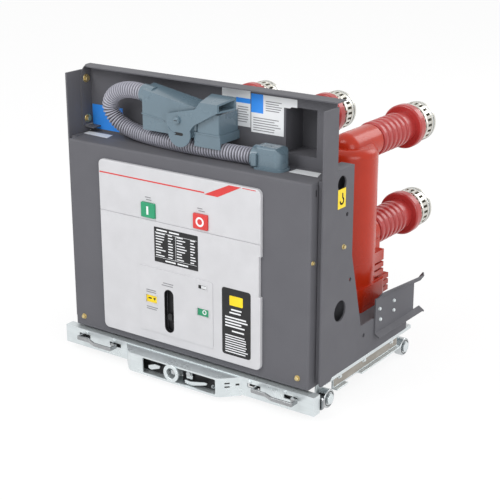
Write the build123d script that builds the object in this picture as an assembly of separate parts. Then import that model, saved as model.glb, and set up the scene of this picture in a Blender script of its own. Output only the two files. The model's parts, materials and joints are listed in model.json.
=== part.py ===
from build123d import *
import math
import os

os.makedirs("parts", exist_ok=True)

# Lengths in mm. X to the right seen from the front, Y to the back, Z up from the floor.
# Depths below are counted from the front face of the truck's cross beam; y_mid puts the
# middle of the whole breaker on the origin when a piece is written.
y_mid = 293.5
over = 2.0

# Side plates
plate_x = 325.5
plate_t = 4.0
plate_front = 30.0
plate_foot = 74.0
plate_foot_z = 66.0
post_back = 80.0
post_top = 626.0
plate_back = 142.0
plate_top = 502.0
slope_top = 315.0
slope_back = 186.0
arm_top = 146.0
arm_flat_back = 235.0
arm_end = 388.0
arm_end_top = 96.0
flange_in = 30.0
flange_t = 3.0
lift_y = 97.0
lift_z = 473.0
lift_r = 16.0
port_y = 100.0
port_z = 208.0
port_r = 22.0
hole_high_y = 119.0
hole_high_z = 406.0
hole_mid_y = 137.0
hole_mid_z = 264.0
hole_low_y = 199.0
hole_low_z = 121.0
small_hole_r = 4.5

# Front cover and mechanism box
cover_x = 309.0
cover_front = 11.0
cover_back = 58.0
cover_t = 2.5
cover_bottom = 62.0
cover_top = 489.0
cover_round = 5.0
deck_top = 489.0
deck_t = 2.5
deck_x = plate_x - plate_t
box_wall_y = 132.0
box_wall_t = 3.0
box_flange_y = 36.0
box_flange_gap = 1.0

# Upper back plate with its pocket
back_y = 106.0
back_t = 2.5
back_high = 147.0
back_top = deck_top + back_high
lip_front = 72.0
lip_t = 2.5
lip_round_share = 0.82
lip_round = (back_y - lip_front) * lip_round_share
ear_rise = 15.0
ear_bottom = deck_top + ear_rise
ear_round_share = 0.21
ear_round = (back_top - ear_bottom) * ear_round_share
back_right = 306.0
pocket_x0 = 190.0
pocket_x1 = 262.0
pocket_low_share = 0.1633
pocket_high_share = 0.8027
pocket_z0 = deck_top + back_high * pocket_low_share
pocket_z1 = deck_top + back_high * pocket_high_share
pocket_back = 165.0
pocket_t = 2.0

# Operator panel
panel_x0 = -217.0
panel_x1 = 199.0
panel_z0 = 79.0
panel_z1 = 461.0
panel_front = 3.0
panel_round = 12.0
panel_edge = 2.0
panel_split_z = 349.5
panel_groove = 1.6
panel_notch = 4.0
panel_notch_z0 = 238.0
panel_notch_z1 = 323.0
pad_x0 = -112.0
pad_x1 = 82.0
pad_z0 = 100.0
pad_z1 = 246.0
pad_rise = 1.6
pad_round = 6.0
key_half_x = 18.0
key_half_z = 16.0
key_z = 371.0
key_close_x = -82.0
key_open_x = 54.0
key_gap = 0.3
key_front = -1.5
key_back = 10.5
key_round = 2.0
window_half_x = 15.0
window_half_z = 8.5
window_z = 174.5
flag_x0 = -79.5
flag_x1 = 57.0
flag_front = 6.0
slot_x = -32.5
slot_half = 12.5
slot_z0 = 108.0
slot_z1 = 205.0
lever_r = 8.0
lever_front = 5.0
lever_z = 142.0
lever_flat = 5.0

# Poles, arms and contacts
pole_spacing = 210.0
pole_y = 313.0
pole_r = 64.0
pole_top_z = 488.0
pole_round = 18.0
upper_z = 480.0
lower_z = 275.0
boss_r = 35.0
boss_front = 279.0
boss_round = 28.0
boss_back = 402.0
base_half = 66.0
base_front = 258.0
base_back = 383.0
base_top = 187.0
base_round = 22.0
fin_back = 403.0
fin_half = 60.0
fin_t = 11.0
fin_low_z = 154.5
fin_mid_z = 169.0
fin_high_z = 183.5
rear_half = 50.0
rear_back = 373.0
ridge_back = 379.0
ridge_low_z = 201.0
ridge_mid_z = 216.5
ridge_high_z = 232.0
shoulder_z0 = 232.0
shoulder_z1 = 251.0
fin_round = 5.0
bed_x = deck_x
bed_t = 4.0
bed_z0 = 72.0
bed_z1 = 134.0
bed_front = 132.0
bed_back = 395.0
sleeve_r = 35.0
sleeve_root_r = 31.0
sleeve_root = 406.0
rib_r = 38.0
rib_t = 15.0
rib_first = 414.0
rib_pitch = 20.0
rib_count = 6
collar_front = 547.0
collar_back = 572.0
collar_r = 50.0
collar_round = 5.0
contact_end = 626.0
contact_r = 45.5
contact_root_r = 41.0
contact_step = 584.0
contact_bore = 24.5
contact_bore_front = 576.0
contact_round = 5.0

# Truck
floor_z0 = 69.0
floor_z1 = 72.0
floor_front = 76.0
floor_back = 408.0
rail_t = 4.0
rail_z0 = 29.0
rail_out = 321.0
rail_width = 63.0
rail_in = rail_out - rail_width
rail_top_t = 4.0
rail_front = 58.0
rail_back = 420.0
band_t = 3.0
band_z0 = 60.0
web_inset = 11.0
web_t = 4.0
web_x1 = rail_out - web_inset
web_x0 = web_x1 - web_t
web_front = 106.0
web_back = 377.0
foot_break_front = 150.0
foot_break_back = 205.0
lug_half = 14.0
lug_z0 = 8.0
wheel_front = 81.0
wheel_back = 402.0
wheel_r = 20.0
wheel_width = 18.0
wheel_bore = 6.4
wheel_round = 2.0
pin_r = 6.0
pin_x1 = rail_out
pin_head_r = 11.0
pin_head_t = 3.6
hub_r = 10.0
hub_gap = 0.4
wheel_x1 = pin_x1 - pin_head_t - hub_gap
wheel_x0 = wheel_x1 - wheel_width
lug_gap = 5.0
rail_x = wheel_x0 - lug_gap
nut_half = 21.0
nut_front = 84.0
nut_back = 108.0
nut_z0 = 20.0
guide_x = 145.0
guide_half = 8.0
guide_z0 = 36.0
guide_z1 = 46.0
guide_back = 352.0
guide_gap = 1.5
guide_wall = 6.0
guide_block_front = 100.0
guide_block_back = 128.0
guide_foot = 26.0

# Cross beam of the truck with crank box, handles and screw
beam_x = 331.0
beam_t = 3.0
beam_z0 = 16.0
beam_z1 = 57.0
beam_depth = 22.0
bow_root = 153.0
bow_flat = 118.0
bow_front = -35.0
bow_round = 26.0
bow_z0 = 13.0
bow_z1 = 55.0
win_z0 = 18.0
win_z1 = 51.6
win_x0 = -79.0
win_x1 = 113.0
win_round = 3.0
crank_z = 37.0
ring_r = 19.5
ring_neck = 14.3
ring_bore = 11.5
ring_front = -39.0
screw_r = 8.0
screw_front = -31.0
screw_step = -14.0
screw_back = 330.0
screw_gap = 0.4
screw_square = 9.0
web_y0 = 12.0
web_y1 = 19.0
slot_inner = 186.0
slot_outer = 275.0
grip_slot_half = 16.0
grip_slot_z0 = 37.7
grip_slot_z1 = 46.8
grip_z0 = 38.0
grip_z1 = 46.5
grip_t = 4.0
grip_near = -17.0
grip_far = -26.0
grip_end = 13.0
grip_neck = -6.0
grip_wave_shares = (0.38, 0.62)
grip_round = 6.0
tongue_y0 = 25.0
tongue_y1 = 31.0
tongue_z0 = 20.0
tongue_z1 = 46.5
tongue_in = 182.0
tongue_out = 337.0
tongue_round = 8.0
grip_shift = 6.0

# Control plug, hose and elbow
plug_x0 = -121.0
plug_x1 = 20.0
plug_step_x = 13.0
plug_y0 = 35.0
plug_y1 = 73.0
plug_z0 = 531.0
plug_top = 616.0
plug_slope = 9.2
plug_roof = 11.0
plug_round = 5.0
plug_cap = 60.0
plug_neck_r = 19.0
plug_neck_len = 30.0
pivot_x = -20.0
pivot_z = 565.0
pivot_r = 5.0
pivot_front = 21.5
pivot_head_r = 8.0
cheek_y0 = 25.5
cheek_y1 = 29.5
cheek_gap = 0.3
cheek_left_x = -50.0
cheek_left_z = 575.0
arm_bend_x = 24.0
arm_bend_z = 592.0
arm_tip_z = 607.5
arm_tip_low_x = 78.0
arm_root_x = 21.0
arm_root_z = 559.0
lobe_side_x = 10.0
lobe_side_z = 545.0
lobe_left_z = 540.0
lobe_r = 28.0
lobe_x = -16.0
lobe_z = 538.0
tab_x0 = 37.0
tab_x1 = 80.0
tab_rear_x1 = 97.0
tab_back = 66.0
tab_front_z0 = 590.5
tab_front_z1 = 608.0
tab_back_z0 = 594.0
tab_back_z1 = 619.0
tab_wall = 4.0
holder_x0 = 14.0
holder_x1 = 79.0
holder_y0 = 35.0
holder_skirt = 4.5
holder_skirt_z = 515.0
holder_z0 = 526.5
holder_share = 0.374
holder_z1 = deck_top + back_high * holder_share
holder_round = 4.0
holder_gap = 1.0
block_x0 = 21.5
block_x1 = 76.0
block_clear = 5.5
block_z1 = tab_front_z0 - block_clear
socket_x0 = -100.0
socket_x1 = 55.0
socket_low_share = 0.306
socket_high_share = 0.7007
socket_z0 = deck_top + back_high * socket_low_share
socket_z1 = deck_top + back_high * socket_high_share
hose_r = 17.5
hose_turn_share = 0.45
hose_points = (
    (-128.0, 55.0, 603.0),
    (-152.0, 56.5, 605.5),
    (-187.0, 60.0, 602.0),
    (-219.0, 63.0, 588.0),
    (-236.0, 66.5, 563.0),
    (-228.0, 71.0, 537.0),
    (-203.0, 74.0, 518.5),
    (-166.0, 73.0, 509.5),
    (-122.0, 67.0, 507.5),
    (-73.0, 61.0, 507.2),
    (-18.0, 58.4, 507.0),
    (40.0, 57.6, 507.2),
    (95.0, 58.2, 507.8),
    (148.0, 60.5, 508.0),
)
elbow_x0 = 160.0
elbow_x1 = 218.0
elbow_y0 = 41.0
elbow_y1 = 81.0
elbow_top = 535.0
elbow_side_round = 7.0
elbow_end_round = 15.0
elbow_bend = 20.0
elbow_base_t = 5.0
elbow_base_over = 3.0
collar_len = 15.0
collar_ring_r = 24.5

# Shutter guide channels
guide_rail_t = 3.0
channel_front = 242.0
channel_back = 412.0
channel_front_z0 = 109.0
channel_front_z1 = 188.0
channel_back_z0 = 107.0
channel_back_z1 = 173.0
channel_lip = 15.0
lip_start = 12.0
channel_flare = 32.0
channel_flare_top = 55.0
channel_reach = 30.0
tip_len = 12.0
tip_kick = 38.0
rivet_front_y = 258.0
rivet_front_z = 162.0
rivet_low_y = 262.0
rivet_low_z = 137.0
rivet_rear_y = 320.0
rivet_rear_z = 161.0
rivet_rear_low_z = 139.0
channel_bolt_r = 3.5


def block(x0, x1, y0, y1, z0, z1):
    """Box between two corners."""
    size = (abs(x1 - x0), abs(y1 - y0), abs(z1 - z0))
    mid = ((x0 + x1) / 2, (y0 + y1) / 2, (z0 + z1) / 2)
    return Pos(*mid) * Box(*size)


def rod_y(x, z, r, y0, y1):
    """Round bar along the depth."""
    return Pos(x, (y0 + y1) / 2, z) * (Rot(X=90) * Cylinder(r, y1 - y0))


def rod_x(y, z, r, x0, x1):
    """Round bar across the width."""
    return Pos((x0 + x1) / 2, y, z) * (Rot(Y=90) * Cylinder(r, abs(x1 - x0)))


def rod_z(x, y, r, z0, z1):
    """Upright round bar."""
    return Pos(x, y, (z0 + z1) / 2) * Cylinder(r, z1 - z0)


def slab_yz(points, x0, x1):
    """Flat piece drawn in depth and height, extruded across the width."""
    face = make_face(Polyline(*[(x0, y, z) for y, z in points], close=True))
    return extrude(face, amount=x1 - x0, dir=(1, 0, 0))


def slab_xz(points, y0, y1):
    """Flat piece drawn in width and height, extruded along the depth."""
    face = make_face(Polyline(*[(x, y0, z) for x, z in points], close=True))
    return extrude(face, amount=y1 - y0, dir=(0, 1, 0))


def slab_xy(points, z0, z1, r=0.0, corners=()):
    """Flat piece drawn in plan, with some corners rounded, extruded upwards."""
    face = make_face(Polyline(*[(x, y, z0) for x, y in points], close=True))
    if r:
        spots = [points[i] for i in corners]
        pick = [
            v for v in face.vertices()
            if min(math.dist((v.X, v.Y), spot) for spot in spots) < over
        ]
        face = fillet(pick, r)
    return extrude(face, amount=z1 - z0, dir=(0, 0, 1))


def round_all(solid, axis, r):
    """Round the edges that run along one axis."""
    return fillet(solid.edges().filter_by(axis), r)


def mirror_x(solid):
    return mirror(solid, about=Plane.YZ)


def write(name, solid):
    """Put a piece in the shared frame and write it."""
    solids = solid.solids()
    if len(solids) != 1:
        print(name, "has", len(solids), "solids")
    export_step(Pos(0, -y_mid, 0) * solids[0], "parts/" + name + ".step")


# Right side plate, bent inward along its upper and rear edges
outline = (
    (plate_front, floor_z1),
    (plate_front + plate_t, plate_foot_z),
    (plate_foot - plate_t, plate_foot_z),
    (plate_foot, floor_z1),
    (arm_end, floor_z1),
    (arm_end, arm_end_top),
    (arm_flat_back, arm_top),
    (slope_back, arm_top),
    (plate_back, slope_top),
    (plate_back, plate_top),
    (post_back, plate_top),
    (post_back, post_top),
    (plate_front, post_top),
)
side = slab_yz(outline, plate_x - plate_t, plate_x)
side += block(plate_x - flange_in, plate_x, post_back, plate_back, plate_top - flange_t, plate_top)
side += block(plate_x - flange_in, plate_x, plate_back - flange_t, plate_back, slope_top, plate_top)
side -= rod_x(lift_y, lift_z, lift_r, plate_x - plate_t - over, plate_x + over)
side -= rod_x(port_y, port_z, port_r, plate_x - plate_t - over, plate_x + over)
for hole_y, hole_z in ((hole_high_y, hole_high_z), (hole_mid_y, hole_mid_z), (hole_low_y, hole_low_z)):
    side -= rod_x(hole_y, hole_z, small_hole_r, plate_x - plate_t - over, plate_x + over)
write("right_side_plate", side)
write("left_side_plate", mirror_x(side))

# Front cover: a folded tray over the mechanism
cover = block(-cover_x, cover_x, cover_front, cover_back, cover_bottom, cover_top)
cover = fillet(cover.edges().filter_by(Axis.Z).group_by(Axis.Y)[0], cover_round)
cover = fillet(cover.edges().filter_by(Axis.X).group_by(Axis.Y)[0].group_by(Axis.Z)[-1], cover_round)
cover -= block(-cover_x + cover_t, cover_x - cover_t, cover_front + cover_t, cover_back + over,
               cover_bottom - over, cover_top - cover_t)
slot_zone_x0 = slot_x - slot_half
slot_zone_x1 = slot_x + slot_half
cover -= block(slot_zone_x0, slot_zone_x1, cover_front - over, cover_front + cover_t + over, slot_z0, slot_z1)
for kx in (key_close_x, key_open_x):
    cover -= block(kx - key_half_x - key_gap, kx + key_half_x + key_gap, cover_front - over,
                   cover_front + cover_t + over, key_z - key_half_z - key_gap, key_z + key_half_z + key_gap)
write("front_cover", cover)

# Mechanism box: deck, rear wall and floor lip folded from one sheet
mech = block(-deck_x, deck_x, cover_back, box_wall_y, deck_top - deck_t, deck_top)
mech += block(-deck_x, deck_x, box_wall_y - box_wall_t, box_wall_y, floor_z1, deck_top)
mech += block(-deck_x, deck_x, floor_front, box_wall_y, floor_z1, floor_z1 + deck_t)
for s in (-1, 1):
    near = s * (cover_x + box_flange_gap)
    mech += block(near, s * deck_x, box_flange_y, cover_back + over, deck_top - deck_t, deck_top)
    mech += block(near, s * deck_x, box_flange_y, box_flange_y + deck_t, floor_z1, deck_top)
write("mechanism_box", mech)

# Upper back plate: lip and ear folded forward, pocket set back at the right
back = block(-deck_x, back_right, back_y - back_t, back_y, deck_top, back_top)
lip = block(-deck_x, plate_x, lip_front, back_y, back_top - lip_t, back_top)
back += fillet(lip.edges().filter_by(Axis.Z).group_by(Axis.Y)[0].sort_by(Axis.X)[0], lip_round)
ear = block(-deck_x, -deck_x + lip_t, lip_front, back_y, ear_bottom, back_top)
back += fillet(ear.edges().filter_by(Axis.X).group_by(Axis.Y)[0].sort_by(Axis.Z)[-1], ear_round)
back += block(pocket_x0 - pocket_t, pocket_x1 + pocket_t, back_y - back_t, pocket_back + pocket_t,
              pocket_z0 - pocket_t, pocket_z1 + pocket_t)
back -= block(pocket_x0, pocket_x1, back_y - back_t - over, pocket_back, pocket_z0, pocket_z1)
for s in (-1, 1):
    back -= block(s * (plate_x - flange_in - over), s * plate_x, lip_front - over, back_y + over,
                  plate_top - flange_t - over, plate_top + over)
write("back_plate", back)

# Operator panel with key holes, windows and the charging slot
panel = block(panel_x0, panel_x1, panel_front, cover_front, panel_z0, panel_z1)
panel -= block(panel_x1 - panel_notch, panel_x1 + over, panel_front - over, cover_front + over,
               panel_notch_z0, panel_notch_z1)
corner_edges = [
    e for e in panel.edges().filter_by(Axis.Y)
    if abs(e.center().Z - panel_z0) < over or abs(e.center().Z - panel_z1) < over
]
panel = fillet(corner_edges, panel_round)
panel = fillet(panel.faces().sort_by(Axis.Y)[0].outer_wire().edges(), panel_edge)
panel -= block(panel_x0 - over, panel_x1 + over, panel_front - over, panel_front + panel_groove,
               panel_split_z - panel_groove / 2, panel_split_z + panel_groove / 2)
pad = block(pad_x0, pad_x1, panel_front - pad_rise, panel_front + over, pad_z0, pad_z1)
panel += round_all(pad, Axis.Y, pad_round)
for kx in (key_close_x, key_open_x):
    panel -= block(kx - key_half_x - key_gap, kx + key_half_x + key_gap, panel_front - over, cover_front + over,
                   key_z - key_half_z - key_gap, key_z + key_half_z + key_gap)
for wx in (flag_x0, flag_x1):
    panel -= block(wx - window_half_x, wx + window_half_x, panel_front - pad_rise - over, flag_front,
                   window_z - window_half_z, window_z + window_half_z)
slot_cut = block(slot_zone_x0, slot_zone_x1, panel_front - pad_rise - over, cover_front + over,
                 slot_z0 + slot_half, slot_z1 - slot_half)
slot_cut += rod_y(slot_x, slot_z0 + slot_half, slot_half, panel_front - pad_rise - over, cover_front + over)
slot_cut += rod_y(slot_x, slot_z1 - slot_half, slot_half, panel_front - pad_rise - over, cover_front + over)
panel -= slot_cut
write("front_panel", panel)

# Push keys and the two flags behind the windows
for name, kx in (("close_button", key_close_x), ("open_button", key_open_x)):
    key = block(kx - key_half_x, kx + key_half_x, key_front, key_back,
                key_z - key_half_z, key_z + key_half_z)
    key = round_all(key, Axis.Y, key_round)
    write(name, key)
for name, wx in (("charge_flag", flag_x0), ("state_flag", flag_x1)):
    write(name, block(wx - window_half_x, wx + window_half_x, flag_front - panel_edge, flag_front,
                      window_z - window_half_z, window_z + window_half_z))

# Charging socket: a flatted shaft end standing behind the slot
socket = rod_y(slot_x, lever_z, lever_r, lever_front, box_wall_y - box_wall_t)
socket -= block(slot_x + lever_flat, slot_x + lever_r + over, lever_front - over, cover_back,
                lever_z - lever_r - over, lever_z + lever_r + over)
write("charging_socket", socket)

# Poles
def pole_at(x):
    """Moulded pole: round post on a finned block, with two terminal bosses towards the rear."""
    body = rod_z(x, pole_y, pole_r, bed_z1, pole_top_z)
    body = fillet(body.edges().sort_by(Axis.Z)[-1], pole_round)
    upper = rod_y(x, upper_z, boss_r, boss_front, boss_back)
    body += fillet(upper.edges().sort_by(Axis.Y)[0], boss_round)
    body += rod_y(x, lower_z, boss_r, pole_y, boss_back)
    foot = block(x - base_half, x + base_half, base_front, base_back, bed_z1, base_top)
    body += fillet(foot.edges().filter_by(Axis.Z), base_round)
    body += block(x - rear_half, x + rear_half, pole_y, rear_back, bed_z1, lower_z)
    for z in (fin_low_z, fin_mid_z, fin_high_z):
        fin = block(x - fin_half, x + fin_half, pole_y, fin_back, z - fin_t / 2, z + fin_t / 2)
        body += fillet(fin.edges().group_by(Axis.Y)[-1], fin_round)
    for z in (ridge_low_z, ridge_mid_z, ridge_high_z):
        fin = block(x - fin_half, x + fin_half, pole_y, ridge_back, z - fin_t / 2, z + fin_t / 2)
        body += fillet(fin.edges().group_by(Axis.Y)[-1], fin_round)
    shoulder = block(x - fin_half, x + fin_half, pole_y, ridge_back, shoulder_z0, shoulder_z1)
    body += fillet(shoulder.edges().group_by(Axis.Y)[-1], fin_round)
    return body


def sleeve_at(x, z):
    """Ribbed insulating sleeve with the large collar at its end."""
    body = rod_y(x, z, sleeve_root_r, boss_back, sleeve_root)
    body += rod_y(x, z, sleeve_r, sleeve_root, collar_back)
    for i in range(rib_count):
        y = rib_first + i * rib_pitch
        rib = rod_y(x, z, rib_r, y - rib_t / 2, y + rib_t / 2)
        body += fillet(rib.edges().filter_by(GeomType.CIRCLE), rib_t / 3)
    collar = rod_y(x, z, collar_r, collar_front, collar_back)
    body += fillet(collar.edges().filter_by(GeomType.CIRCLE), collar_round)
    return body


def contact_at(x, z):
    """Tulip contact: a cage of fingers as one ring with a bore."""
    body = rod_y(x, z, contact_root_r, collar_back, contact_step)
    cage = rod_y(x, z, contact_r, contact_step, contact_end)
    body += fillet(cage.edges().filter_by(GeomType.CIRCLE), contact_round)
    body -= rod_y(x, z, contact_bore, contact_bore_front, contact_end + over)
    return body


for tag, x in (("left", -pole_spacing), ("centre", 0.0), ("right", pole_spacing)):
    write("pole_" + tag, pole_at(x))
    for level, z in (("upper", upper_z), ("lower", lower_z)):
        write(level + "_sleeve_" + tag, sleeve_at(x, z))
        write(level + "_contact_" + tag, contact_at(x, z))

bed = block(-bed_x, bed_x, bed_front, bed_back, bed_z0, bed_z1)
bed -= block(-bed_x + bed_t, bed_x - bed_t, bed_front + bed_t, bed_back - bed_t, bed_z0 - over, bed_z1 - bed_t)
write("pole_bed", bed)

# Truck floor with the screw nut and two guide blocks below it
truck = block(-plate_x, plate_x, floor_front, floor_back, floor_z0, floor_z1)
truck += block(-nut_half, nut_half, nut_front, nut_back, nut_z0, floor_z0)
truck -= rod_y(0.0, crank_z, screw_r + screw_gap, nut_front - over, nut_back + over)
for s in (-1, 1):
    gx0 = s * guide_x - guide_half - guide_gap - guide_wall
    gx1 = s * guide_x + guide_half + guide_gap + guide_wall
    truck += block(gx0, gx1, guide_block_front, guide_block_back, guide_foot, floor_z0)
    truck -= block(s * guide_x - guide_half - guide_gap, s * guide_x + guide_half + guide_gap,
                   guide_block_front - over, guide_block_back + over,
                   guide_z0 - guide_gap, guide_z1 + guide_gap)
write("truck_floor", truck)

# Truck side rails with wheel lugs and axle pins
rail = block(rail_in, rail_out, rail_front, rail_back, floor_z0 - rail_top_t, floor_z0)
rail += block(rail_out - band_t, rail_out, rail_front, rail_back, band_z0, floor_z0)
rail += block(web_x0, web_x1, web_front, web_back, rail_z0, floor_z0)
rail += block(web_x0, rail_out, web_front, foot_break_front, rail_z0, rail_z0 + band_t)
rail += block(web_x0, rail_out, foot_break_back, web_back, rail_z0, rail_z0 + band_t)
for y in (wheel_front, wheel_back):
    rail += block(rail_x - rail_t, rail_x, y - lug_half, y + lug_half, lug_z0, floor_z0)
    rail += rod_x(y, wheel_r, hub_r, rail_x - over, wheel_x0 - hub_gap)
    rail += rod_x(y, wheel_r, pin_r, rail_x - over, pin_x1)
    rail += rod_x(y, wheel_r, pin_head_r, wheel_x1 + hub_gap, pin_x1)
write("right_truck_rail", rail)
write("left_truck_rail", mirror_x(rail))
for tag, y in (("front", wheel_front), ("rear", wheel_back)):
    wheel = rod_x(y, wheel_r, wheel_r, wheel_x0, wheel_x1)
    wheel = fillet(wheel.edges().filter_by(GeomType.CIRCLE), wheel_round)
    wheel -= rod_x(y, wheel_r, wheel_bore, wheel_x0 - over, wheel_x1 + over)
    write(tag + "_right_wheel", wheel)
    write(tag + "_left_wheel", mirror_x(wheel))

# Cross beam: channel, bowed crank box, guide bars and the screw bearing
beam = block(-beam_x, beam_x, 0.0, beam_depth, beam_z0, beam_z1)
beam -= block(-beam_x + beam_t, beam_x - beam_t, beam_t, beam_depth + over,
              beam_z0 + beam_t, beam_z1 - beam_t)
bow = slab_xy(((-bow_root, beam_t), (-bow_root, 0.0), (-bow_flat, bow_front), (bow_flat, bow_front),
               (bow_root, 0.0), (bow_root, beam_t)), bow_z0, bow_z1, bow_round, (2, 3))
inner_root = bow_root - beam_t
inner_flat = bow_flat - beam_t / 2
inner_front = bow_front + beam_t
hollow = slab_xy(((-inner_root, beam_t + over), (-inner_root, beam_t), (-inner_flat, inner_front),
                  (inner_flat, inner_front), (inner_root, beam_t), (inner_root, beam_t + over)),
                 bow_z0 + beam_t, bow_z1 - beam_t, bow_round - beam_t, (2, 3))
beam += bow
beam -= hollow
window = block(win_x0, win_x1, bow_front - over, inner_front + over, win_z0, win_z1)
beam -= round_all(window, Axis.Y, win_round)
beam += block(-bow_flat, bow_flat, web_y0, web_y1, bow_z0 + beam_t, beam_z1 - beam_t / 2)
beam -= rod_y(0.0, crank_z, screw_r + screw_gap, web_y0 - over, web_y1 + over)
for s in (-1, 1):
    for x in (slot_inner, slot_outer):
        slot = block(s * x - grip_slot_half, s * x + grip_slot_half, -over, beam_t + over,
                     grip_slot_z0, grip_slot_z1)
        beam -= slot
    beam += block(s * guide_x - guide_half, s * guide_x + guide_half, beam_t / 2, guide_back,
                  guide_z0, guide_z1)
beam += block(-guide_x, guide_x, web_y0, web_y1, beam_z0, beam_z0 + beam_t * 2)
beam += block(-guide_x - guide_half, guide_x + guide_half, web_y0, web_y1, guide_z0, guide_z1)
beam -= rod_y(0.0, crank_z, screw_r + screw_gap, web_y0 - over, web_y1 + over)
write("front_beam", beam)

# Crank bush: a ring in the window on a neck that reaches back to the bearing web
bush = rod_y(0.0, crank_z, ring_r, ring_front, bow_front)
bush += rod_y(0.0, crank_z, ring_neck, bow_front - over, web_y0)
bush -= rod_y(0.0, crank_z, ring_bore, ring_front - over, web_y0 + over)
write("crank_bush", bush)

# Lead screw with a squared drive end
screw = rod_y(0.0, crank_z, screw_r, screw_step, screw_back)
screw += block(-screw_square / 2, screw_square / 2, screw_front, screw_step,
               crank_z - screw_square / 2, crank_z + screw_square / 2)
write("lead_screw", screw)

# Pull grips: a strip bent in a wave in front, legs through the beam, locking tongue behind it
def strip_xy(points, t, z0, z1, r):
    """Flat strip set on edge along a bent line drawn in plan."""
    sides = ([], [])
    for i, (x, y) in enumerate(points):
        before = points[max(i - 1, 0)]
        after = points[min(i + 1, len(points) - 1)]
        a = Vector(x - before[0], y - before[1], 0)
        b = Vector(after[0] - x, after[1] - y, 0)
        a = (a if a.length else b).normalized()
        b = (b if b.length else a).normalized()
        mean = (a + b).normalized()
        reach = t / 2 / mean.dot(a)
        sides[0].append((x - mean.Y * reach, y + mean.X * reach))
        sides[1].append((x + mean.Y * reach, y - mean.X * reach))
    count = len(points)
    corners = [i for i in range(1, count - 1)] + [i for i in range(count + 1, 2 * count - 1)]
    return slab_xy(sides[0] + sides[1][::-1], z0, z1, r, corners)


def grip_at(first, second):
    """Grip whose first end lies close to the beam and whose second end stands out."""
    near_share, far_share = grip_wave_shares
    span = second - first
    line = (
        (first, tongue_y1),
        (first, grip_near),
        (first + span * near_share, grip_near),
        (first + span * far_share, grip_far),
        (second + grip_end, grip_far),
        (second + grip_end, grip_neck),
        (second, grip_neck),
        (second, tongue_y1),
    )
    return strip_xy(line, grip_t, grip_z0, grip_z1, grip_round / 2)


leg_near = slot_inner + grip_shift
leg_far = slot_outer + grip_shift
tongue = block(tongue_in, tongue_out, tongue_y0, tongue_y1, tongue_z0, tongue_z1)
tongue = fillet(tongue.edges().filter_by(Axis.Y).group_by(Axis.X)[-1], tongue_round)
write("right_handle", grip_at(leg_near, leg_far) + tongue)
write("left_handle", grip_at(-leg_far, -leg_near) + mirror_x(tongue))

# Control plug: a wedge whose roof falls to the right and to the front
plug = block(plug_x0, plug_x1, plug_y0, plug_y1, plug_z0, plug_top + plug_cap)
cap = Pos(0, 0, plug_cap) * Box(plug_cap * 8, plug_cap * 8, plug_cap * 2)
plug -= Pos(plug_x0, plug_y0, plug_top) * (Rot(X=plug_roof) * (Rot(Y=plug_slope) * cap))
plug = fillet(plug.edges().group_by(Axis.Z)[-1] + plug.edges().filter_by(Axis.Z), plug_round)
plug -= block(plug_step_x, plug_x1 + over, plug_y0 - over, plug_y1 + over, plug_z0 - over, holder_z1 + holder_gap)
plug_mid_y = (plug_y0 + plug_y1) / 2
first = Vector(*hose_points[0])
second = Vector(*hose_points[1])
plug += Plane(origin=first, z_dir=first - second) * (
    Pos(0, 0, plug_neck_len / 2) * Cylinder(plug_neck_r, plug_neck_len))
plug += rod_y(pivot_x, pivot_z, pivot_r, cheek_y0 - over, plug_mid_y)
plug += rod_y(pivot_x, pivot_z, pivot_head_r, pivot_front, cheek_y0 - cheek_gap)
write("plug_body", plug)

# Latch of the plug: cheek with cam lobe, arm and a hollow tab across the end
cheek = slab_xz((
    (cheek_left_x, cheek_left_z),
    (arm_bend_x, arm_bend_z),
    (tab_x0, tab_front_z1),
    (tab_x1, arm_tip_z),
    (arm_tip_low_x, tab_front_z0),
    (arm_root_x, arm_root_z),
    (lobe_side_x, lobe_side_z),
    (lobe_x, lobe_z),
    (lobe_x - lobe_r, lobe_left_z),
), cheek_y0, cheek_y1)
cheek += rod_y(lobe_x, lobe_z, lobe_r, cheek_y0, cheek_y1)
tab_rise = (tab_back_z0 - tab_front_z0) / (tab_back - cheek_y0)
tab_fall = (tab_back_z1 - tab_front_z1) / (tab_back - cheek_y0)
tab = slab_yz(((cheek_y0, tab_front_z0), (tab_back, tab_back_z0), (tab_back, tab_back_z1), (cheek_y0, tab_front_z1)),
              tab_x0, tab_rear_x1)
inner_y0 = cheek_y0 + tab_wall
inner_y1 = tab_back - tab_wall
tab -= slab_yz(((inner_y0, tab_front_z0 + tab_wall * (1 + tab_rise)),
                (inner_y1, tab_back_z0 + tab_wall * (1 - tab_rise)),
                (inner_y1, tab_back_z1 - tab_wall * (1 + tab_fall)),
                (inner_y0, tab_front_z1 - tab_wall * (1 - tab_fall))),
               tab_x0 + tab_wall * 2, tab_rear_x1 + over)
tab -= slab_xy(((tab_x1, cheek_y0), (tab_rear_x1 + over * 4, tab_back + over * 8),
                (tab_rear_x1 + over * 8, cheek_y0)),
               tab_front_z0 - over, tab_back_z1 + over)
cheek += tab
cheek -= rod_y(pivot_x, pivot_z, pivot_r + cheek_gap, cheek_y0 - over, cheek_y1 + over)
write("plug_latch", cheek)

# Holder of the plug: socket on the back plate, block beside it and a skirt in front of the hose
holder = block(holder_x0, holder_x1, holder_y0, back_y - back_t, holder_z0, holder_z1)
holder += block(holder_x0, holder_x1, holder_y0, holder_y0 + holder_skirt, holder_skirt_z, holder_z1)
holder = round_all(holder, Axis.Z, holder_round / 2)
holder += round_all(block(block_x0, block_x1, holder_y0, back_y - back_t, holder_z1 - over, block_z1),
                    Axis.Z, holder_round)
holder += block(socket_x0, socket_x1, plug_y1, back_y - back_t, socket_z0, socket_z1)
write("plug_holder", holder)

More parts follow.
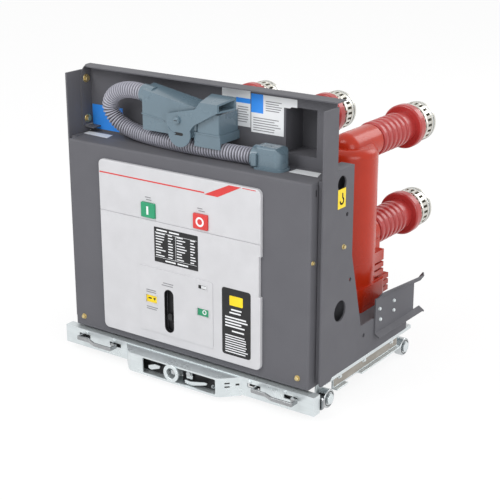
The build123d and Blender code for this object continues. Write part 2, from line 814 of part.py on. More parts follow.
# Corrugated hose from the plug to the elbow on the deck
points = [Vector(*p) for p in hose_points]
radii = []
for a, b, c in zip(points, points[1:], points[2:]):
    turn = math.radians((b - a).get_angle(c - b))
    shorter = min((b - a).length, (c - b).length)
    radii.append(hose_turn_share * shorter / math.tan(turn / 2))
path = FilletPolyline(*points, radius=radii)
section = Plane(origin=points[0], z_dir=points[1] - points[0]) * Circle(hose_r)
hose = sweep(section, path=path)
write("plug_hose", hose)

# Elbow fitting that takes the hose through the deck
elbow = block(elbow_x0, elbow_x1, elbow_y0, elbow_y1, deck_top, elbow_top)
elbow = fillet(elbow.edges().filter_by(Axis.Z).group_by(Axis.X)[-1], elbow_end_round)
elbow = fillet(elbow.edges().filter_by(Axis.Z).group_by(Axis.X)[0], elbow_side_round)
side_view = block(elbow_x0, elbow_x1, elbow_y0 - over, elbow_y1 + over, deck_top, elbow_top)
side_view = fillet(side_view.edges().filter_by(Axis.Y).group_by(Axis.Z)[-1].sort_by(Axis.X)[-1], elbow_bend)
end_view = block(elbow_x0 - over, elbow_x1 + over, elbow_y0, elbow_y1, deck_top, elbow_top)
end_view = fillet(end_view.edges().filter_by(Axis.X).group_by(Axis.Z)[-1], elbow_side_round)
elbow = elbow & side_view & end_view
base = block(elbow_x0 - elbow_base_over, elbow_x1 + elbow_base_over, elbow_y0 - elbow_base_over,
             elbow_y1 + elbow_base_over, deck_top, deck_top + elbow_base_t)
base = fillet(base.edges().filter_by(Axis.Z).group_by(Axis.X)[-1], elbow_end_round + elbow_base_over)
elbow += fillet(base.edges().filter_by(Axis.Z).group_by(Axis.X)[0], elbow_base_over)
last = Vector(*hose_points[-1])
before = Vector(*hose_points[-2])
toward = (last - before).normalized()
elbow += Plane(origin=last, z_dir=toward) * (Pos(0, 0, collar_len / 2) * Cylinder(collar_ring_r, collar_len))
elbow -= block(elbow_x0 - plug_cap, elbow_x1 + plug_cap, elbow_y0 - plug_cap, elbow_y1 + plug_cap,
               deck_top - plug_cap, deck_top)
write("hose_elbow", elbow)

# Shutter guide channels outside the side plates
web = slab_yz(((channel_front, channel_front_z0), (channel_back, channel_back_z0),
               (channel_back, channel_back_z1), (channel_front, channel_front_z1)),
              plate_x, plate_x + guide_rail_t)
for y, z in ((rivet_front_y, rivet_front_z), (rivet_low_y, rivet_low_z), (rivet_rear_y, rivet_rear_z),
             (rivet_rear_y, rivet_rear_low_z)):
    web -= rod_x(y, z, channel_bolt_r, plate_x - over, plate_x + guide_rail_t + over)


def lip_at(y0, z0, y1, z1, sign, flare):
    """Slanting lip along one edge of the channel, running past its end with a flared tip."""
    angle = math.degrees(math.atan2(z1 - z0, y1 - y0))
    length = math.dist((y0, z0), (y1, z1)) + channel_reach
    strip = Box(channel_lip, length, guide_rail_t)
    strip = Pos(channel_lip / 2, length / 2, -sign * guide_rail_t / 2) * strip
    tip = Pos(channel_lip / 2, tip_len / 2, -sign * guide_rail_t / 2) * Box(channel_lip, tip_len, guide_rail_t)
    tip = Pos(0, length - over / 2, 0) * (Rot(X=sign * tip_kick) * tip)
    strip = Rot(Y=-sign * flare) * (strip + tip)
    return Pos(plate_x, y0, z0) * (Rot(X=angle) * strip)


top_slope = (channel_back_z1 - channel_front_z1) / (channel_back - channel_front)
web += lip_at(channel_front + lip_start, channel_front_z1 + top_slope * lip_start, channel_back, channel_back_z1,
              1, channel_flare_top)
web += lip_at(channel_front, channel_front_z0, channel_back, channel_back_z0, -1, channel_flare)
write("right_shutter_rail", web)
write("left_shutter_rail", mirror_x(web))
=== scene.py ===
import json
import math

import bmesh
import bpy
from bpy.props import FloatProperty, FloatVectorProperty, IntProperty, PointerProperty
from mathutils import Matrix, Vector


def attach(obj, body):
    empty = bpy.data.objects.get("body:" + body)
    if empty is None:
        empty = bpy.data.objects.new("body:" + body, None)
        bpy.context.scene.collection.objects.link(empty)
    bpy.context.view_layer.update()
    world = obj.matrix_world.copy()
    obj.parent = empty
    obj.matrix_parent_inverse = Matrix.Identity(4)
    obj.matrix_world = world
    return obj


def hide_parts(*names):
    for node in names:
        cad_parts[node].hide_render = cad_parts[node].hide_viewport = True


bl_info = {
    "name": "Vacuum circuit breaker",
    "version": (1, 0, 0),
    "blender": (4, 5, 0),
    "location": "View3D > Sidebar > Breaker",
    "description": "Finishes, fittings, marks and studio of a withdrawable circuit breaker",
    "category": "Object",
}

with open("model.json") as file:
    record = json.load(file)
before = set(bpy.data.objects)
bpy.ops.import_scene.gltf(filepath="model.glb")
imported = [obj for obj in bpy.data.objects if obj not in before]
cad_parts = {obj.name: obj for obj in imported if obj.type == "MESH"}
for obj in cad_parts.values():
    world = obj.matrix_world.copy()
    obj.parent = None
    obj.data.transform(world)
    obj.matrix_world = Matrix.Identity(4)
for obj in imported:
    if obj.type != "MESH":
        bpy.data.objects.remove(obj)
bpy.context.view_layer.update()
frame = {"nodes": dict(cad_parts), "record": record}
NODES = frame["nodes"]
SLOT_OF = {p["node"]: p["material_slot"] for p in frame["record"]["subparts"]}
BODY_OF = {n: b for b, ns in frame["record"]["behaviour"]["bodies"].items() for n in ns}

# Millimetres; depths are counted from the front face of the truck's cross beam.
MM = 0.001
MID_Y = 293.5
SIDES = ("left", "centre", "right")
PHASE = {"left": -210.0, "centre": 0.0, "right": 210.0}
LEVEL = {"upper": 480.0, "lower": 275.0}
RIGHT, LEFT, AHEAD, BACK, UP = (1, 0, 0), (-1, 0, 0), (0, -1, 0), (0, 1, 0), (0, 0, 1)

# Faces that carry fittings: at the side, towards the operator, and the deck
COVER_X = 309.0
PLATE_X = 325.5
CHANNEL_X = 328.5
WEB_X = 310.0
COVER_Y = 11.0
PANEL_Y = 3.0
PAD_Y = 1.4
FLAG_Y = 4.0
KEY_Y = -1.5
BACK_Y = 103.5
PLUG_Y = 35.0
CHEEK_Y = 25.5
PIVOT_Y = 21.5
ELBOW_Y = 36.5
DECK_Z = 489.0

# Prints: how far their foot lies below the sheet, the rise of a plate, and the depths of printed bars
SINK = 0.1
PLATE_RISE = 0.5
MARK_RISE = 0.7
BAR_RISE = 0.25
PANEL_PRINT_Y = 2.95
PLATE_PRINT_Y = 2.45
PAD_PRINT_Y = 1.3
BACK_PRINT_Y = 103.2

# Head radius, head height and washer radius of each kind of bolt, rivet or pressed boss
BOLT = {
    "cover": (4.6, 3.5, 6.4), "cover_side": (3.4, 2.5, 5.0), "plate": (4.2, 3.0, 5.4), "rivet": (3.6, 1.4, 4.2),
    "truck": (4.5, 3.0, 6.0), "ear": (7.0, 4.0, 9.5), "wall": (5.0, 3.5, 7.5), "bed": (4.4, 4.0, 5.6),
    "crank": (3.6, 2.5, 5.0), "nut": (6.0, 4.0, 8.0), "boss": (4.0, 1.6, 5.5),
}

HOSE_ROUTE = (
    (-128.0, 55.0, 603.0), (-152.0, 56.5, 605.5), (-187.0, 60.0, 602.0), (-219.0, 63.0, 588.0), (-236.0, 66.5, 563.0),
    (-228.0, 71.0, 537.0), (-203.0, 74.0, 518.5), (-166.0, 73.0, 509.5), (-122.0, 67.0, 507.5), (-73.0, 61.0, 507.2),
    (-18.0, 58.4, 507.0), (40.0, 57.6, 507.2), (95.0, 58.2, 507.8), (148.0, 60.5, 508.0),
)

# Sharp edges start at these angles, in degrees: on drawn fittings, and on solids and copies
SHARP = 38
SHARP_SOLID = 34
EDGE = 0.0009


def row(x, y, z):
    """Point in the row frame, in metres."""
    return Vector((x * MM, (y - MID_Y) * MM, z * MM))


def srgb(r, g, b):
    """Screen colour, 0 to 255, as scene linear."""
    def one(v):
        v = v / 255
        return v / 12.92 if v <= 0.04045 else ((v + 0.055) / 1.055) ** 2.4
    return (one(r), one(g), one(b))


# Properties
def tint(name, text, r, g, b):
    return FloatVectorProperty(name=name, description=text, subtype="COLOR", size=3, min=0.0, max=1.0,
                               default=srgb(r, g, b))


def length(name, text, value):
    return FloatProperty(name=name, description=text, subtype="DISTANCE", unit="LENGTH", min=0.0, default=value)


class BreakerColours(bpy.types.PropertyGroup):
    """Colours of the breaker's finishes."""

    powder: tint("Powder coat", "Grey of the sheet housing", 98, 98, 103)
    panel: tint("Panel", "Face of the operator panel", 204, 204, 207)
    zinc: tint("Zinc plate", "Plated truck and screws", 222, 229, 231)
    steel: tint("Bright steel", "Ground steel of wheels and screw", 196, 200, 202)
    passivated: tint("Yellow zinc", "Passivated bolts of the housing", 220, 200, 146)
    orange: tint("Pole resin", "Cast resin of the poles", 182, 46, 20)
    crimson: tint("Sleeve resin", "Resin of the sleeves and collars", 174, 52, 50)
    silver: tint("Silver plate", "Contact fingers", 216, 214, 206)
    plug: tint("Plug plastic", "Blue grey plug, latch and elbow", 100, 120, 132)
    # Hose: the crests show the pale plastic; the near-black groove tone is painted shade between the ribs.
    hose_pale: tint("Hose crest", "Crest of the hose's ribs", 178, 178, 190)
    hose_dark: tint("Hose groove", "Groove between the hose's ribs", 18, 18, 24)
    green: tint("Close green", "Close key and open flag", 24, 150, 104)
    red: tint("Open red", "Open key and the panel's line", 214, 52, 50)
    yellow: tint("Flag yellow", "Charge flag and hook mark", 250, 218, 20)
    # Black is the own colour of plates and print, and also painted shade in slots, slits and wells.
    black: tint("Black", "Dark plates and openings", 22, 22, 24)
    white: tint("White", "Stickers and marks", 236, 238, 240)
    blue: tint("Blue", "Blue stickers", 54, 148, 246)


class BreakerSizes(bpy.types.PropertyGroup):
    """Sizes of the fittings that are added to the solids."""

    edge: length("Broken edge", "Width of the broken edges of sheet and plastic", EDGE)
    rib_pitch: length("Hose rib pitch", "Distance between two ribs of the hose", 0.0068)
    rib_depth: length("Hose rib depth", "Depth of the grooves of the hose", 0.0042)
    fingers: IntProperty(name="Contact fingers", description="Fingers round each tulip contact",
                         min=8, max=48, default=22)
    print_rise: length("Print rise", "How far a sticker stands off its sheet", 0.00025)


# Node trees
def socket_kind(value):
    """Type of the socket that takes a value; None stands for a material."""
    if value is None:
        return "NodeSocketMaterial"
    if isinstance(value, tuple):
        return "NodeSocketColor" if len(value) == 4 else "NodeSocketVector"
    return "NodeSocketInt" if isinstance(value, int) else "NodeSocketFloat"


def feed(tree, node, inputs):
    """Give each input a value, another node's output, or the first output of another node."""
    for key, value in inputs.items():
        if isinstance(value, bpy.types.Node):
            value = value.outputs[0]
        if isinstance(value, bpy.types.NodeSocket):
            tree.links.new(value, node.inputs[key])
        else:
            node.inputs[key].default_value = value
    return node


def put(tree, kind, inputs=None, **settings):
    """New node with its settings and inputs."""
    node = tree.nodes.new(kind)
    for key, value in settings.items():
        setattr(node, key, value)
    return feed(tree, node, inputs or {})


def reckon(tree, operation, *terms, clamp=False):
    """Product, quotient or other result of values."""
    return put(tree, "ShaderNodeMath", dict(enumerate(terms)), operation=operation, use_clamp=clamp)


def blend(tree, factor, a, b):
    """Colour between two others."""
    return put(tree, "ShaderNodeMix", {"Factor": factor, "A": a, "B": b}, data_type="RGBA").outputs["Result"]


def spread(tree, value, low, high):
    """Value drawn out so that low to high becomes 0 to 1."""
    return put(tree, "ShaderNodeMapRange", {"Value": value, "From Min": low, "From Max": high})


def noise(tree, scale, detail, stretch=None):
    """Noise on Object coordinates; stretch sets the scale along each axis."""
    place = put(tree, "ShaderNodeTexCoord").outputs["Object"]
    if stretch is not None:
        place = put(tree, "ShaderNodeMapping", {"Vector": place, "Scale": stretch})
    return put(tree, "ShaderNodeTexNoise", {"Vector": place, "Scale": scale, "Detail": detail}).outputs["Fac"]


def add_inputs(tree, inputs):
    """Give a tree its inputs, and return the sockets that bring them in."""
    for label, value in inputs.items():
        socket = tree.interface.new_socket(label, in_out="INPUT", socket_type=socket_kind(value))
        if value is not None:
            socket.default_value = value
    return tree.nodes.new("NodeGroupInput").outputs


def new_group(name, inputs):
    """Empty shader group with its inputs."""
    tree = bpy.data.node_groups.new(name, "ShaderNodeTree")
    return tree, add_inputs(tree, inputs)


def close_group(tree, outputs):
    """Give a shader group its outputs."""
    kinds = {"RGBA": "NodeSocketColor", "VALUE": "NodeSocketFloat", "VECTOR": "NodeSocketVector"}
    for label, socket in outputs.items():
        tree.interface.new_socket(label, in_out="OUTPUT", socket_type=kinds[socket.type])
    feed(tree, tree.nodes.new("NodeGroupOutput"), outputs)
    return tree


# Shader groups
def mottle_group():
    """Colour that drifts between two tones, and a roughness that drifts with it."""
    tree, enter = new_group("Mottled finish", {
        "Tone": (0.5, 0.5, 0.5, 1.0), "Second tone": (0.4, 0.4, 0.4, 1.0), "Scale": 18.0, "Low": 0.4, "High": 0.6})
    drift = spread(tree, noise(tree, enter["Scale"], 6.0), 0.32, 0.68)
    level = put(tree, "ShaderNodeMapRange", {"Value": drift, "To Min": enter["Low"], "To Max": enter["High"]})
    colour = blend(tree, drift, enter["Tone"], enter["Second tone"])
    return close_group(tree, {"Colour": colour, "Roughness": level.outputs["Result"]})


def grain_group():
    """Fine orange peel or casting grain as a bumped normal."""
    tree, enter = new_group("Fine grain", {"Scale": 900.0, "Strength": 0.1, "Depth": 0.0004})
    height = noise(tree, enter["Scale"], 3.0)
    bump = put(tree, "ShaderNodeBump", {"Strength": enter["Strength"], "Distance": enter["Depth"], "Height": height})
    return close_group(tree, {"Normal": bump.outputs["Normal"]})


def streak_group():
    """Rolling streaks along the width, as a mask and a bumped normal."""
    tree, enter = new_group("Rolled streaks", {"Strength": 0.1})
    mask = spread(tree, noise(tree, 1.0, 3.0, (9.0, 60.0, 420.0)), 0.3, 0.7)
    bump = put(tree, "ShaderNodeBump", {"Strength": enter["Strength"], "Distance": 0.0003, "Height": mask})
    return close_group(tree, {"Mask": mask.outputs["Result"], "Normal": bump.outputs["Normal"]})


def dust_group():
    """Dust that settles on faces that look up, as a mask."""
    tree, enter = new_group("Settled dust", {"Amount": 0.1})
    normal = put(tree, "ShaderNodeNewGeometry").outputs["Normal"]
    height = put(tree, "ShaderNodeSeparateXYZ", {"Vector": normal}).outputs["Z"]
    patchy = reckon(tree, "MULTIPLY", spread(tree, height, 0.55, 1.0), noise(tree, 34.0, 5.0))
    amount = reckon(tree, "MULTIPLY", patchy, enter["Amount"], clamp=True)
    return close_group(tree, {"Mask": amount.outputs["Value"]})


GROUPS = {}
FINISHES = {}
DUST_TONE = (0.55, 0.54, 0.52, 1.0)
STREAK_SHADE = 0.82
STREAK_SHARE = 0.45


def shaded(colour, share=1.0):
    """Colour with alpha, at a share of its brightness."""
    return (*(min(1.0, v * share) for v in colour), 1.0)


def make_finish(name, colour, low, high, second=0.88, scale=18.0, metal=0.0, coat=0.0, grain=(900.0, 0.06),
                streaks=0.0, dust=0.0, specular=0.5):
    """Finish whose tone, roughness and surface change from place to place."""
    material = bpy.data.materials.new(name)
    material.use_nodes = True
    tree = material.node_tree

    def group(key, inputs):
        return put(tree, "ShaderNodeGroup", inputs, node_tree=GROUPS[key]).outputs

    mottle = group("mottle", {"Tone": shaded(colour), "Second tone": shaded(colour, second), "Scale": scale,
                              "Low": low, "High": high})
    tone = mottle["Colour"]
    if streaks:
        surface = group("streak", {"Strength": streaks})
        part = reckon(tree, "MULTIPLY", surface["Mask"], STREAK_SHARE)
        tone = blend(tree, part, tone, shaded(colour, STREAK_SHADE))
    else:
        surface = group("grain", {"Scale": grain[0], "Strength": grain[1]})
    if dust:
        tone = blend(tree, group("dust", {"Amount": dust})["Mask"], tone, DUST_TONE)
    feed(tree, tree.nodes["Principled BSDF"], {
        "Metallic": metal, "Specular IOR Level": specular, "Coat Weight": coat, "Coat Roughness": 0.08,
        "Roughness": mottle["Roughness"], "Base Color": tone, "Normal": surface["Normal"]})
    FINISHES[name] = material
    return material


def make_hose_finish(pale, dark):
    """Corrugated plastic, pale on the crests, with painted shade darkening the grooves."""
    tree = make_finish("hose_rib", pale, 0.32, 0.46, grain=(700.0, 0.03)).node_tree
    shader = tree.nodes["Principled BSDF"]
    tone = shader.inputs["Base Color"].links[0].from_socket
    # The crest mask paints shade into the grooves between the ribs.
    crest = put(tree, "ShaderNodeAttribute", attribute_name="crest").outputs["Fac"]
    feed(tree, shader, {"Base Color": blend(tree, crest, shaded(dark), tone)})


# Shapes
def plane_at(origin, across, up):
    """Drawing plane: across and up span it, their cross product points off it."""
    u = Vector(across).normalized()
    v = Vector(up).normalized()
    n = u.cross(v)
    return Matrix(((u.x, v.x, n.x, origin[0]), (u.y, v.y, n.y, origin[1]), (u.z, v.z, n.z, origin[2]), (0, 0, 0, 1)))


def front(y):
    return plane_at((0, y, 0), RIGHT, UP)


def right(x):
    return plane_at((x, 0, 0), BACK, UP)


def left(x):
    return plane_at((x, 0, 0), BACK, (0, 0, -1)) @ Matrix.Diagonal((1, -1, 1, 1))


def both(x):
    """The planes of a right and a left face."""
    return (right(x), left(-x))


def top(z):
    return plane_at((0, 0, z), RIGHT, BACK)


def axis_at(x, y, z, toward):
    """Turning axis through a point."""
    n = Vector(toward).normalized()
    side = Vector(UP) if abs(n.z) < 0.9 else Vector(RIGHT)
    u = side.cross(n).normalized()
    return plane_at((x, y, z), u, n.cross(u))


def rect(x0, x1, z0, z1):
    return [(x0, z0), (x1, z0), (x1, z1), (x0, z1)]


def rounded(x0, x1, z0, z1, r, steps=6):
    """Rectangle with round corners."""
    points = []
    for cx, cz, start in ((x1 - r, z0 + r, -90), (x1 - r, z1 - r, 0), (x0 + r, z1 - r, 90), (x0 + r, z0 + r, 180)):
        for i in range(steps + 1):
            a = math.radians(start + 90 * i / steps)
            points.append((cx + r * math.cos(a), cz + r * math.sin(a)))
    return points


def stroke(a, b, half, overlap):
    """Straight stroke of a mark, a little longer than the way from one point to the next."""
    along = Vector(b) - Vector(a)
    side = Vector((-along.y, along.x)).normalized() * half
    end = along.normalized() * overlap
    a = Vector(a) - end
    b = Vector(b) + end
    return [a + side, a - side, b - side, b + side]


def tidied(data, sharp, work):
    """Write worked faces back to a mesh, with sharp edges from an angle on."""
    work.to_mesh(data)
    work.free()
    data.set_sharp_from_angle(angle=math.radians(sharp))
    return data


def placed(name, data):
    obj = bpy.data.objects.new(name, data)
    bpy.context.scene.collection.objects.link(obj)
    return obj


class Shape:
    """Faces of one piece, gathered in millimetres."""

    def __init__(self):
        self.points = []
        self.faces = []
        self.marks = []
        self.smooth = []

    def add(self, points, faces, mark, smooth):
        start = len(self.points)
        self.points.extend(points)
        self.faces.extend([tuple(start + i for i in f) for f in faces])
        self.marks.extend([mark] * len(faces))
        self.smooth.extend([smooth] * len(faces))

    def prism(self, outline, at, low, high, mark=0):
        """Outline drawn on a plane, between two heights above it."""
        n = len(outline)
        points = [at @ Vector((x, z, h)) for h in (low, high) for x, z in outline]
        faces = [tuple(range(n - 1, -1, -1)), tuple(range(n, 2 * n))]
        faces += [(i, (i + 1) % n, n + (i + 1) % n, n + i) for i in range(n)]
        self.add(points, faces, mark, False)

    def film(self, outline, at, rise, mark=0):
        """Thin print whose foot lies in its sheet."""
        self.prism(outline, at, -SINK, rise, mark)

    def lathe(self, profile, at, steps=48, mark=0):
        """Closed profile of radius and height, turned round the plane's axis."""
        points, faces = [], []
        n = len(profile)
        for i in range(steps):
            a = math.tau * i / steps
            points += [at @ Vector((r * math.cos(a), r * math.sin(a), h)) for r, h in profile]
        for i in range(steps):
            j = (i + 1) % steps
            faces += [(i * n + k, j * n + k, j * n + (k + 1) % n, i * n + (k + 1) % n) for k in range(n)]
        self.add(points, faces, mark, True)

    def tube(self, inner, outer, low, high, at, steps):
        """Short tube between two radii and two heights."""
        self.lathe([(inner, low), (outer, low), (outer, high), (inner, high)], at, steps)

    def band(self, outer, inner, at, low, high, mark=0):
        """Flat ring between two outlines of equal count, between two heights above a plane."""
        n = len(outer)
        rings = ((outer, low), (outer, high), (inner, high), (inner, low))
        points = [at @ Vector((x, z, h)) for outline, h in rings for x, z in outline]
        faces = [(k * n + i, k * n + (i + 1) % n, (k + 1) % 4 * n + (i + 1) % n, (k + 1) % 4 * n + i)
                 for k in range(4) for i in range(n)]
        self.add(points, faces, mark, False)

    def mesh(self, name, materials):
        data = bpy.data.meshes.new(name)
        data.from_pydata([row(*p) for p in self.points], [], self.faces)
        for material in materials:
            data.materials.append(FINISHES[material])
        data.polygons.foreach_set("material_index", self.marks)
        data.polygons.foreach_set("use_smooth", self.smooth)
        work = bmesh.new()
        work.from_mesh(data)
        bmesh.ops.remove_doubles(work, verts=work.verts, dist=1e-7)
        bmesh.ops.dissolve_degenerate(work, edges=work.edges, dist=1e-7)
        bmesh.ops.recalc_face_normals(work, faces=work.faces)
        return tidied(data, SHARP, work)

    def piece(self, name, materials, slot, body="breaker", edge=0.0):
        """The finished piece, riding on its body."""
        obj = placed(name, self.mesh(name, materials))
        if edge:
            break_edges(obj, edge)
        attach(obj, body)
        return obj


def break_edges(obj, width):
    """Narrow rounded edge along every sharp corner."""
    bevel = obj.modifiers.new("Broken edges", "BEVEL")
    bevel.width = width
    bevel.segments = 2
    bevel.limit_method = "ANGLE"
    bevel.angle_limit = math.radians(SHARP_SOLID)
    flat = obj.modifiers.new("Flat faces", "WEIGHTED_NORMAL")
    flat.mode = "FACE_AREA"
    flat.weight = 100
    flat.keep_sharp = True


def clean_copy(node):
    """Joined copy of a solid's mesh with its flat faces made whole."""
    data = NODES[node].data.copy()
    data.name = node + "_finished"
    if "custom_normal" in data.attributes:
        data.attributes.remove(data.attributes["custom_normal"])
    work = bmesh.new()
    work.from_mesh(data)
    bmesh.ops.remove_doubles(work, verts=work.verts, dist=1e-6)
    bmesh.ops.dissolve_limit(work, angle_limit=math.radians(0.3), verts=work.verts, edges=work.edges)
    for face in work.faces:
        face.smooth = True
        face.material_index = 0
    tidied(data, SHARP_SOLID, work)
    data.materials.clear()
    return data


def softened(node, finish, width):
    """Piece that stands for a solid, with its sharp edges broken."""
    data = clean_copy(node)
    data.materials.append(FINISHES[finish])
    obj = placed(node + "_finished", data)
    break_edges(obj, width)
    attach(obj, BODY_OF[node])
    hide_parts(node)
    return obj


# Geometry node trees
def new_tree(name, inputs):
    """Empty geometry tree with its sockets."""
    tree = bpy.data.node_groups.new(name, "GeometryNodeTree")
    tree.is_modifier = True
    for way in ("INPUT", "OUTPUT"):
        tree.interface.new_socket("Geometry", in_out=way, socket_type="NodeSocketGeometry")
    return tree, add_inputs(tree, inputs)


def close_tree(tree, enter, geometry):
    """Realise the copies and give them their material."""
    real = put(tree, "GeometryNodeRealizeInstances", {"Geometry": geometry})
    paint = put(tree, "GeometryNodeSetMaterial", {"Geometry": real, "Material": enter["Material"]})
    put(tree, "NodeGroupOutput", {"Geometry": paint})
    return tree


def ring_tree():
    """Copies of the piece's mesh turned round the depth axis, then moved to a centre."""
    tree, enter = new_tree("Ring of copies", {"Count": 24, "Centre": (0.0, 0.0, 0.0), "Material": None})
    step = reckon(tree, "DIVIDE", math.tau, enter["Count"])
    turn = reckon(tree, "MULTIPLY", put(tree, "GeometryNodeInputIndex"), step)
    copies = put(tree, "GeometryNodeInstanceOnPoints", {
        "Points": put(tree, "GeometryNodePoints", {"Count": enter["Count"]}), "Instance": enter["Geometry"],
        "Rotation": put(tree, "ShaderNodeCombineXYZ", {"Y": turn})})
    move = put(tree, "GeometryNodeTransform", {"Geometry": copies, "Translation": enter["Centre"]})
    return close_tree(tree, enter, move)


def bolt_tree():
    """Bolt heads with washers on the piece's points, each along its own aim."""
    tree, enter = new_tree("Bolts on points", {
        "Head": 0.006, "Height": 0.004, "Washer": 0.009, "Sides": 6, "Material": None})
    washer_top = 0.0012

    def lifted(mesh, share):
        height = reckon(tree, "MULTIPLY_ADD", enter["Height"], share, washer_top)
        place = put(tree, "ShaderNodeCombineXYZ", {"Z": height})
        return put(tree, "GeometryNodeTransform", {"Geometry": mesh, "Translation": place})

    washer = put(tree, "GeometryNodeMeshCone", {
        "Vertices": 28, "Depth": 0.0014, "Radius Bottom": enter["Washer"],
        "Radius Top": reckon(tree, "MULTIPLY_ADD", enter["Washer"], 1.0, -0.0005)})
    head = put(tree, "GeometryNodeMeshCylinder", {
        "Vertices": enter["Sides"], "Radius": enter["Head"], "Depth": enter["Height"]})
    crown = put(tree, "GeometryNodeMeshCone", {
        "Vertices": enter["Sides"], "Depth": 0.0007, "Radius Bottom": enter["Head"],
        "Radius Top": reckon(tree, "MULTIPLY_ADD", enter["Head"], 0.84, 0.0)})
    join = put(tree, "GeometryNodeJoinGeometry")
    for part in (washer, lifted(head, 0.5), lifted(crown, 1.0)):
        feed(tree, join, {"Geometry": part})
    aim = put(tree, "GeometryNodeInputNamedAttribute", {"Name": "aim"}, data_type="FLOAT_VECTOR")
    align = put(tree, "FunctionNodeAlignRotationToVector", {"Vector": aim.outputs["Attribute"]}, axis="Z")
    points = put(tree, "GeometryNodeMeshToPoints", {"Mesh": enter["Geometry"]})
    copies = put(tree, "GeometryNodeInstanceOnPoints", {"Points": points, "Instance": join, "Rotation": align})
    return close_tree(tree, enter, copies)


def print_tree():
    """Rows of plain bars of uneven length on the piece's points, as printed lines seen from afar."""
    tree, enter = new_tree("Printed bars", {
        "Longest": 0.02, "Shortest": 0.01, "Thick": 0.0012, "Rise": 0.0002, "Seed": 4, "Material": None})
    size = put(tree, "ShaderNodeCombineXYZ", {"X": 1.0, "Y": enter["Rise"], "Z": enter["Thick"]})
    bar = put(tree, "GeometryNodeMeshCube", {"Size": size})
    shift = put(tree, "GeometryNodeTransform", {"Geometry": bar, "Translation": (0.5, 0.0, 0.0)})
    reach = put(tree, "FunctionNodeRandomValue", {
        2: enter["Shortest"], 3: enter["Longest"], "Seed": enter["Seed"]}, data_type="FLOAT")
    scale = put(tree, "ShaderNodeCombineXYZ", {"X": reach.outputs[1], "Y": 1.0, "Z": 1.0})
    points = put(tree, "GeometryNodeMeshToPoints", {"Mesh": enter["Geometry"]})
    copies = put(tree, "GeometryNodeInstanceOnPoints", {"Points": points, "Instance": shift, "Scale": scale})
    return close_tree(tree, enter, copies)


TREES = {}


def grown(name, data, tree_key, values, body):
    """Run a tree on a mesh and keep the result as a plain piece."""
    tree = TREES[tree_key]
    obj = placed(name, data)
    modifier = obj.modifiers.new("Copies", "NODES")
    modifier.node_group = tree
    for item in tree.interface.items_tree:
        if item.item_type == "SOCKET" and item.in_out == "INPUT" and item.name in values:
            modifier[item.identifier] = values[item.name]
    ready = obj.evaluated_get(bpy.context.evaluated_depsgraph_get())
    made = bpy.data.meshes.new_from_object(ready)
    obj.modifiers.remove(modifier)
    obj.data = made
    made.name = name
    made.set_sharp_from_angle(angle=math.radians(SHARP_SOLID))
    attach(obj, body)
    return obj


def point_mesh(name, places):
    data = bpy.data.meshes.new(name)
    data.from_pydata([row(*p) for p in places], [], [])
    return data


def bolts(name, kind, places, toward, finish, body="breaker", slot="bright_steel", sides=6):
    """Bolt heads of one kind that look the same way."""
    data = point_mesh(name, places)
    data.attributes.new("aim", "FLOAT_VECTOR", "POINT").data.foreach_set("vector", list(toward) * len(places))
    head, height, washer = BOLT[kind]
    values = {"Head": head * MM, "Height": height * MM, "Washer": washer * MM, "Sides": sides,
              "Material": FINISHES[finish]}
    return grown(name, data, "bolt", values, body)


def printed(name, places, bar, finish, seed):
    """Plain bars in place of print; bar is the longest and the shortest length and the thickness."""
    longest, shortest, thick = bar
    values = {"Longest": longest * MM, "Shortest": shortest * MM, "Thick": thick * MM, "Seed": seed,
              "Rise": BAR_RISE * MM, "Material": FINISHES[finish]}
    return grown(name, point_mesh(name, places), "print", values, "breaker")


def lines(columns, y, z, step, count):
    """Left ends of printed bars: a count of lines, each in one or more columns."""
    return [(x, y, z + step * i) for i in range(count) for x in columns]


# Each finish: name, colour or screen colour, lowest and highest roughness, second tone, scale of the drift, more
FINISH_LIST = (
    ("powder_grey", "powder", 0.60, 0.70, 0.95, 14.0, {"grain": (1400.0, 0.08), "dust": 0.04, "specular": 0.25}),
    ("panel_face", "panel", 0.34, 0.46, 0.94, 22.0, {"grain": (1100.0, 0.05)}),
    ("zinc_plate", "zinc", 0.24, 0.40, 0.90, 26.0, {"metal": 0.6, "streaks": 0.06}),
    ("bright_steel", "steel", 0.16, 0.30, 0.85, 40.0, {"metal": 1.0, "grain": (500.0, 0.05)}),
    ("yellow_zinc", "passivated", 0.28, 0.42, 0.75, 220.0, {"metal": 0.85, "grain": (800.0, 0.05)}),
    ("pole_resin", "orange", 0.22, 0.30, 0.90, 11.0, {"coat": 0.1, "grain": (260.0, 0.02), "specular": 0.32}),
    ("sleeve_resin", "crimson", 0.26, 0.38, 0.88, 16.0, {"coat": 0.2, "grain": (260.0, 0.03)}),
    ("silver_plate", "silver", 0.18, 0.32, 0.84, 60.0, {"metal": 0.95, "grain": (600.0, 0.05)}),
    ("plug_plastic", "plug", 0.24, 0.34, 0.92, 24.0, {"coat": 0.4, "grain": (900.0, 0.04)}),
    ("close_green", "green", 0.28, 0.38, 0.9, 60.0, {"coat": 0.2}),
    ("open_red", "red", 0.28, 0.38, 0.9, 60.0, {"coat": 0.2}),
    ("flag_yellow", "yellow", 0.34, 0.44, 0.9, 80.0, {}),
    ("dull_black", "black", 0.42, 0.6, 0.8, 60.0, {}),
    ("white_film", "white", 0.36, 0.46, 0.97, 40.0, {}),
    ("blue_film", "blue", 0.34, 0.46, 0.93, 40.0, {}),
    ("grey_print", (128, 128, 132), 0.45, 0.55, 0.9, 60.0, {}),
    ("contact_shade", (70, 66, 56), 0.4, 0.55, 0.8, 60.0, {"metal": 0.3}),
    # Tone of the recessed rail webs: painted shade and painted reflection.
    ("web_grey", (158, 152, 143), 0.38, 0.52, 0.9, 30.0, {"metal": 0.3}),
    ("grip_steel", (168, 170, 172), 0.16, 0.28, 0.82, 60.0, {"metal": 0.95}),
)


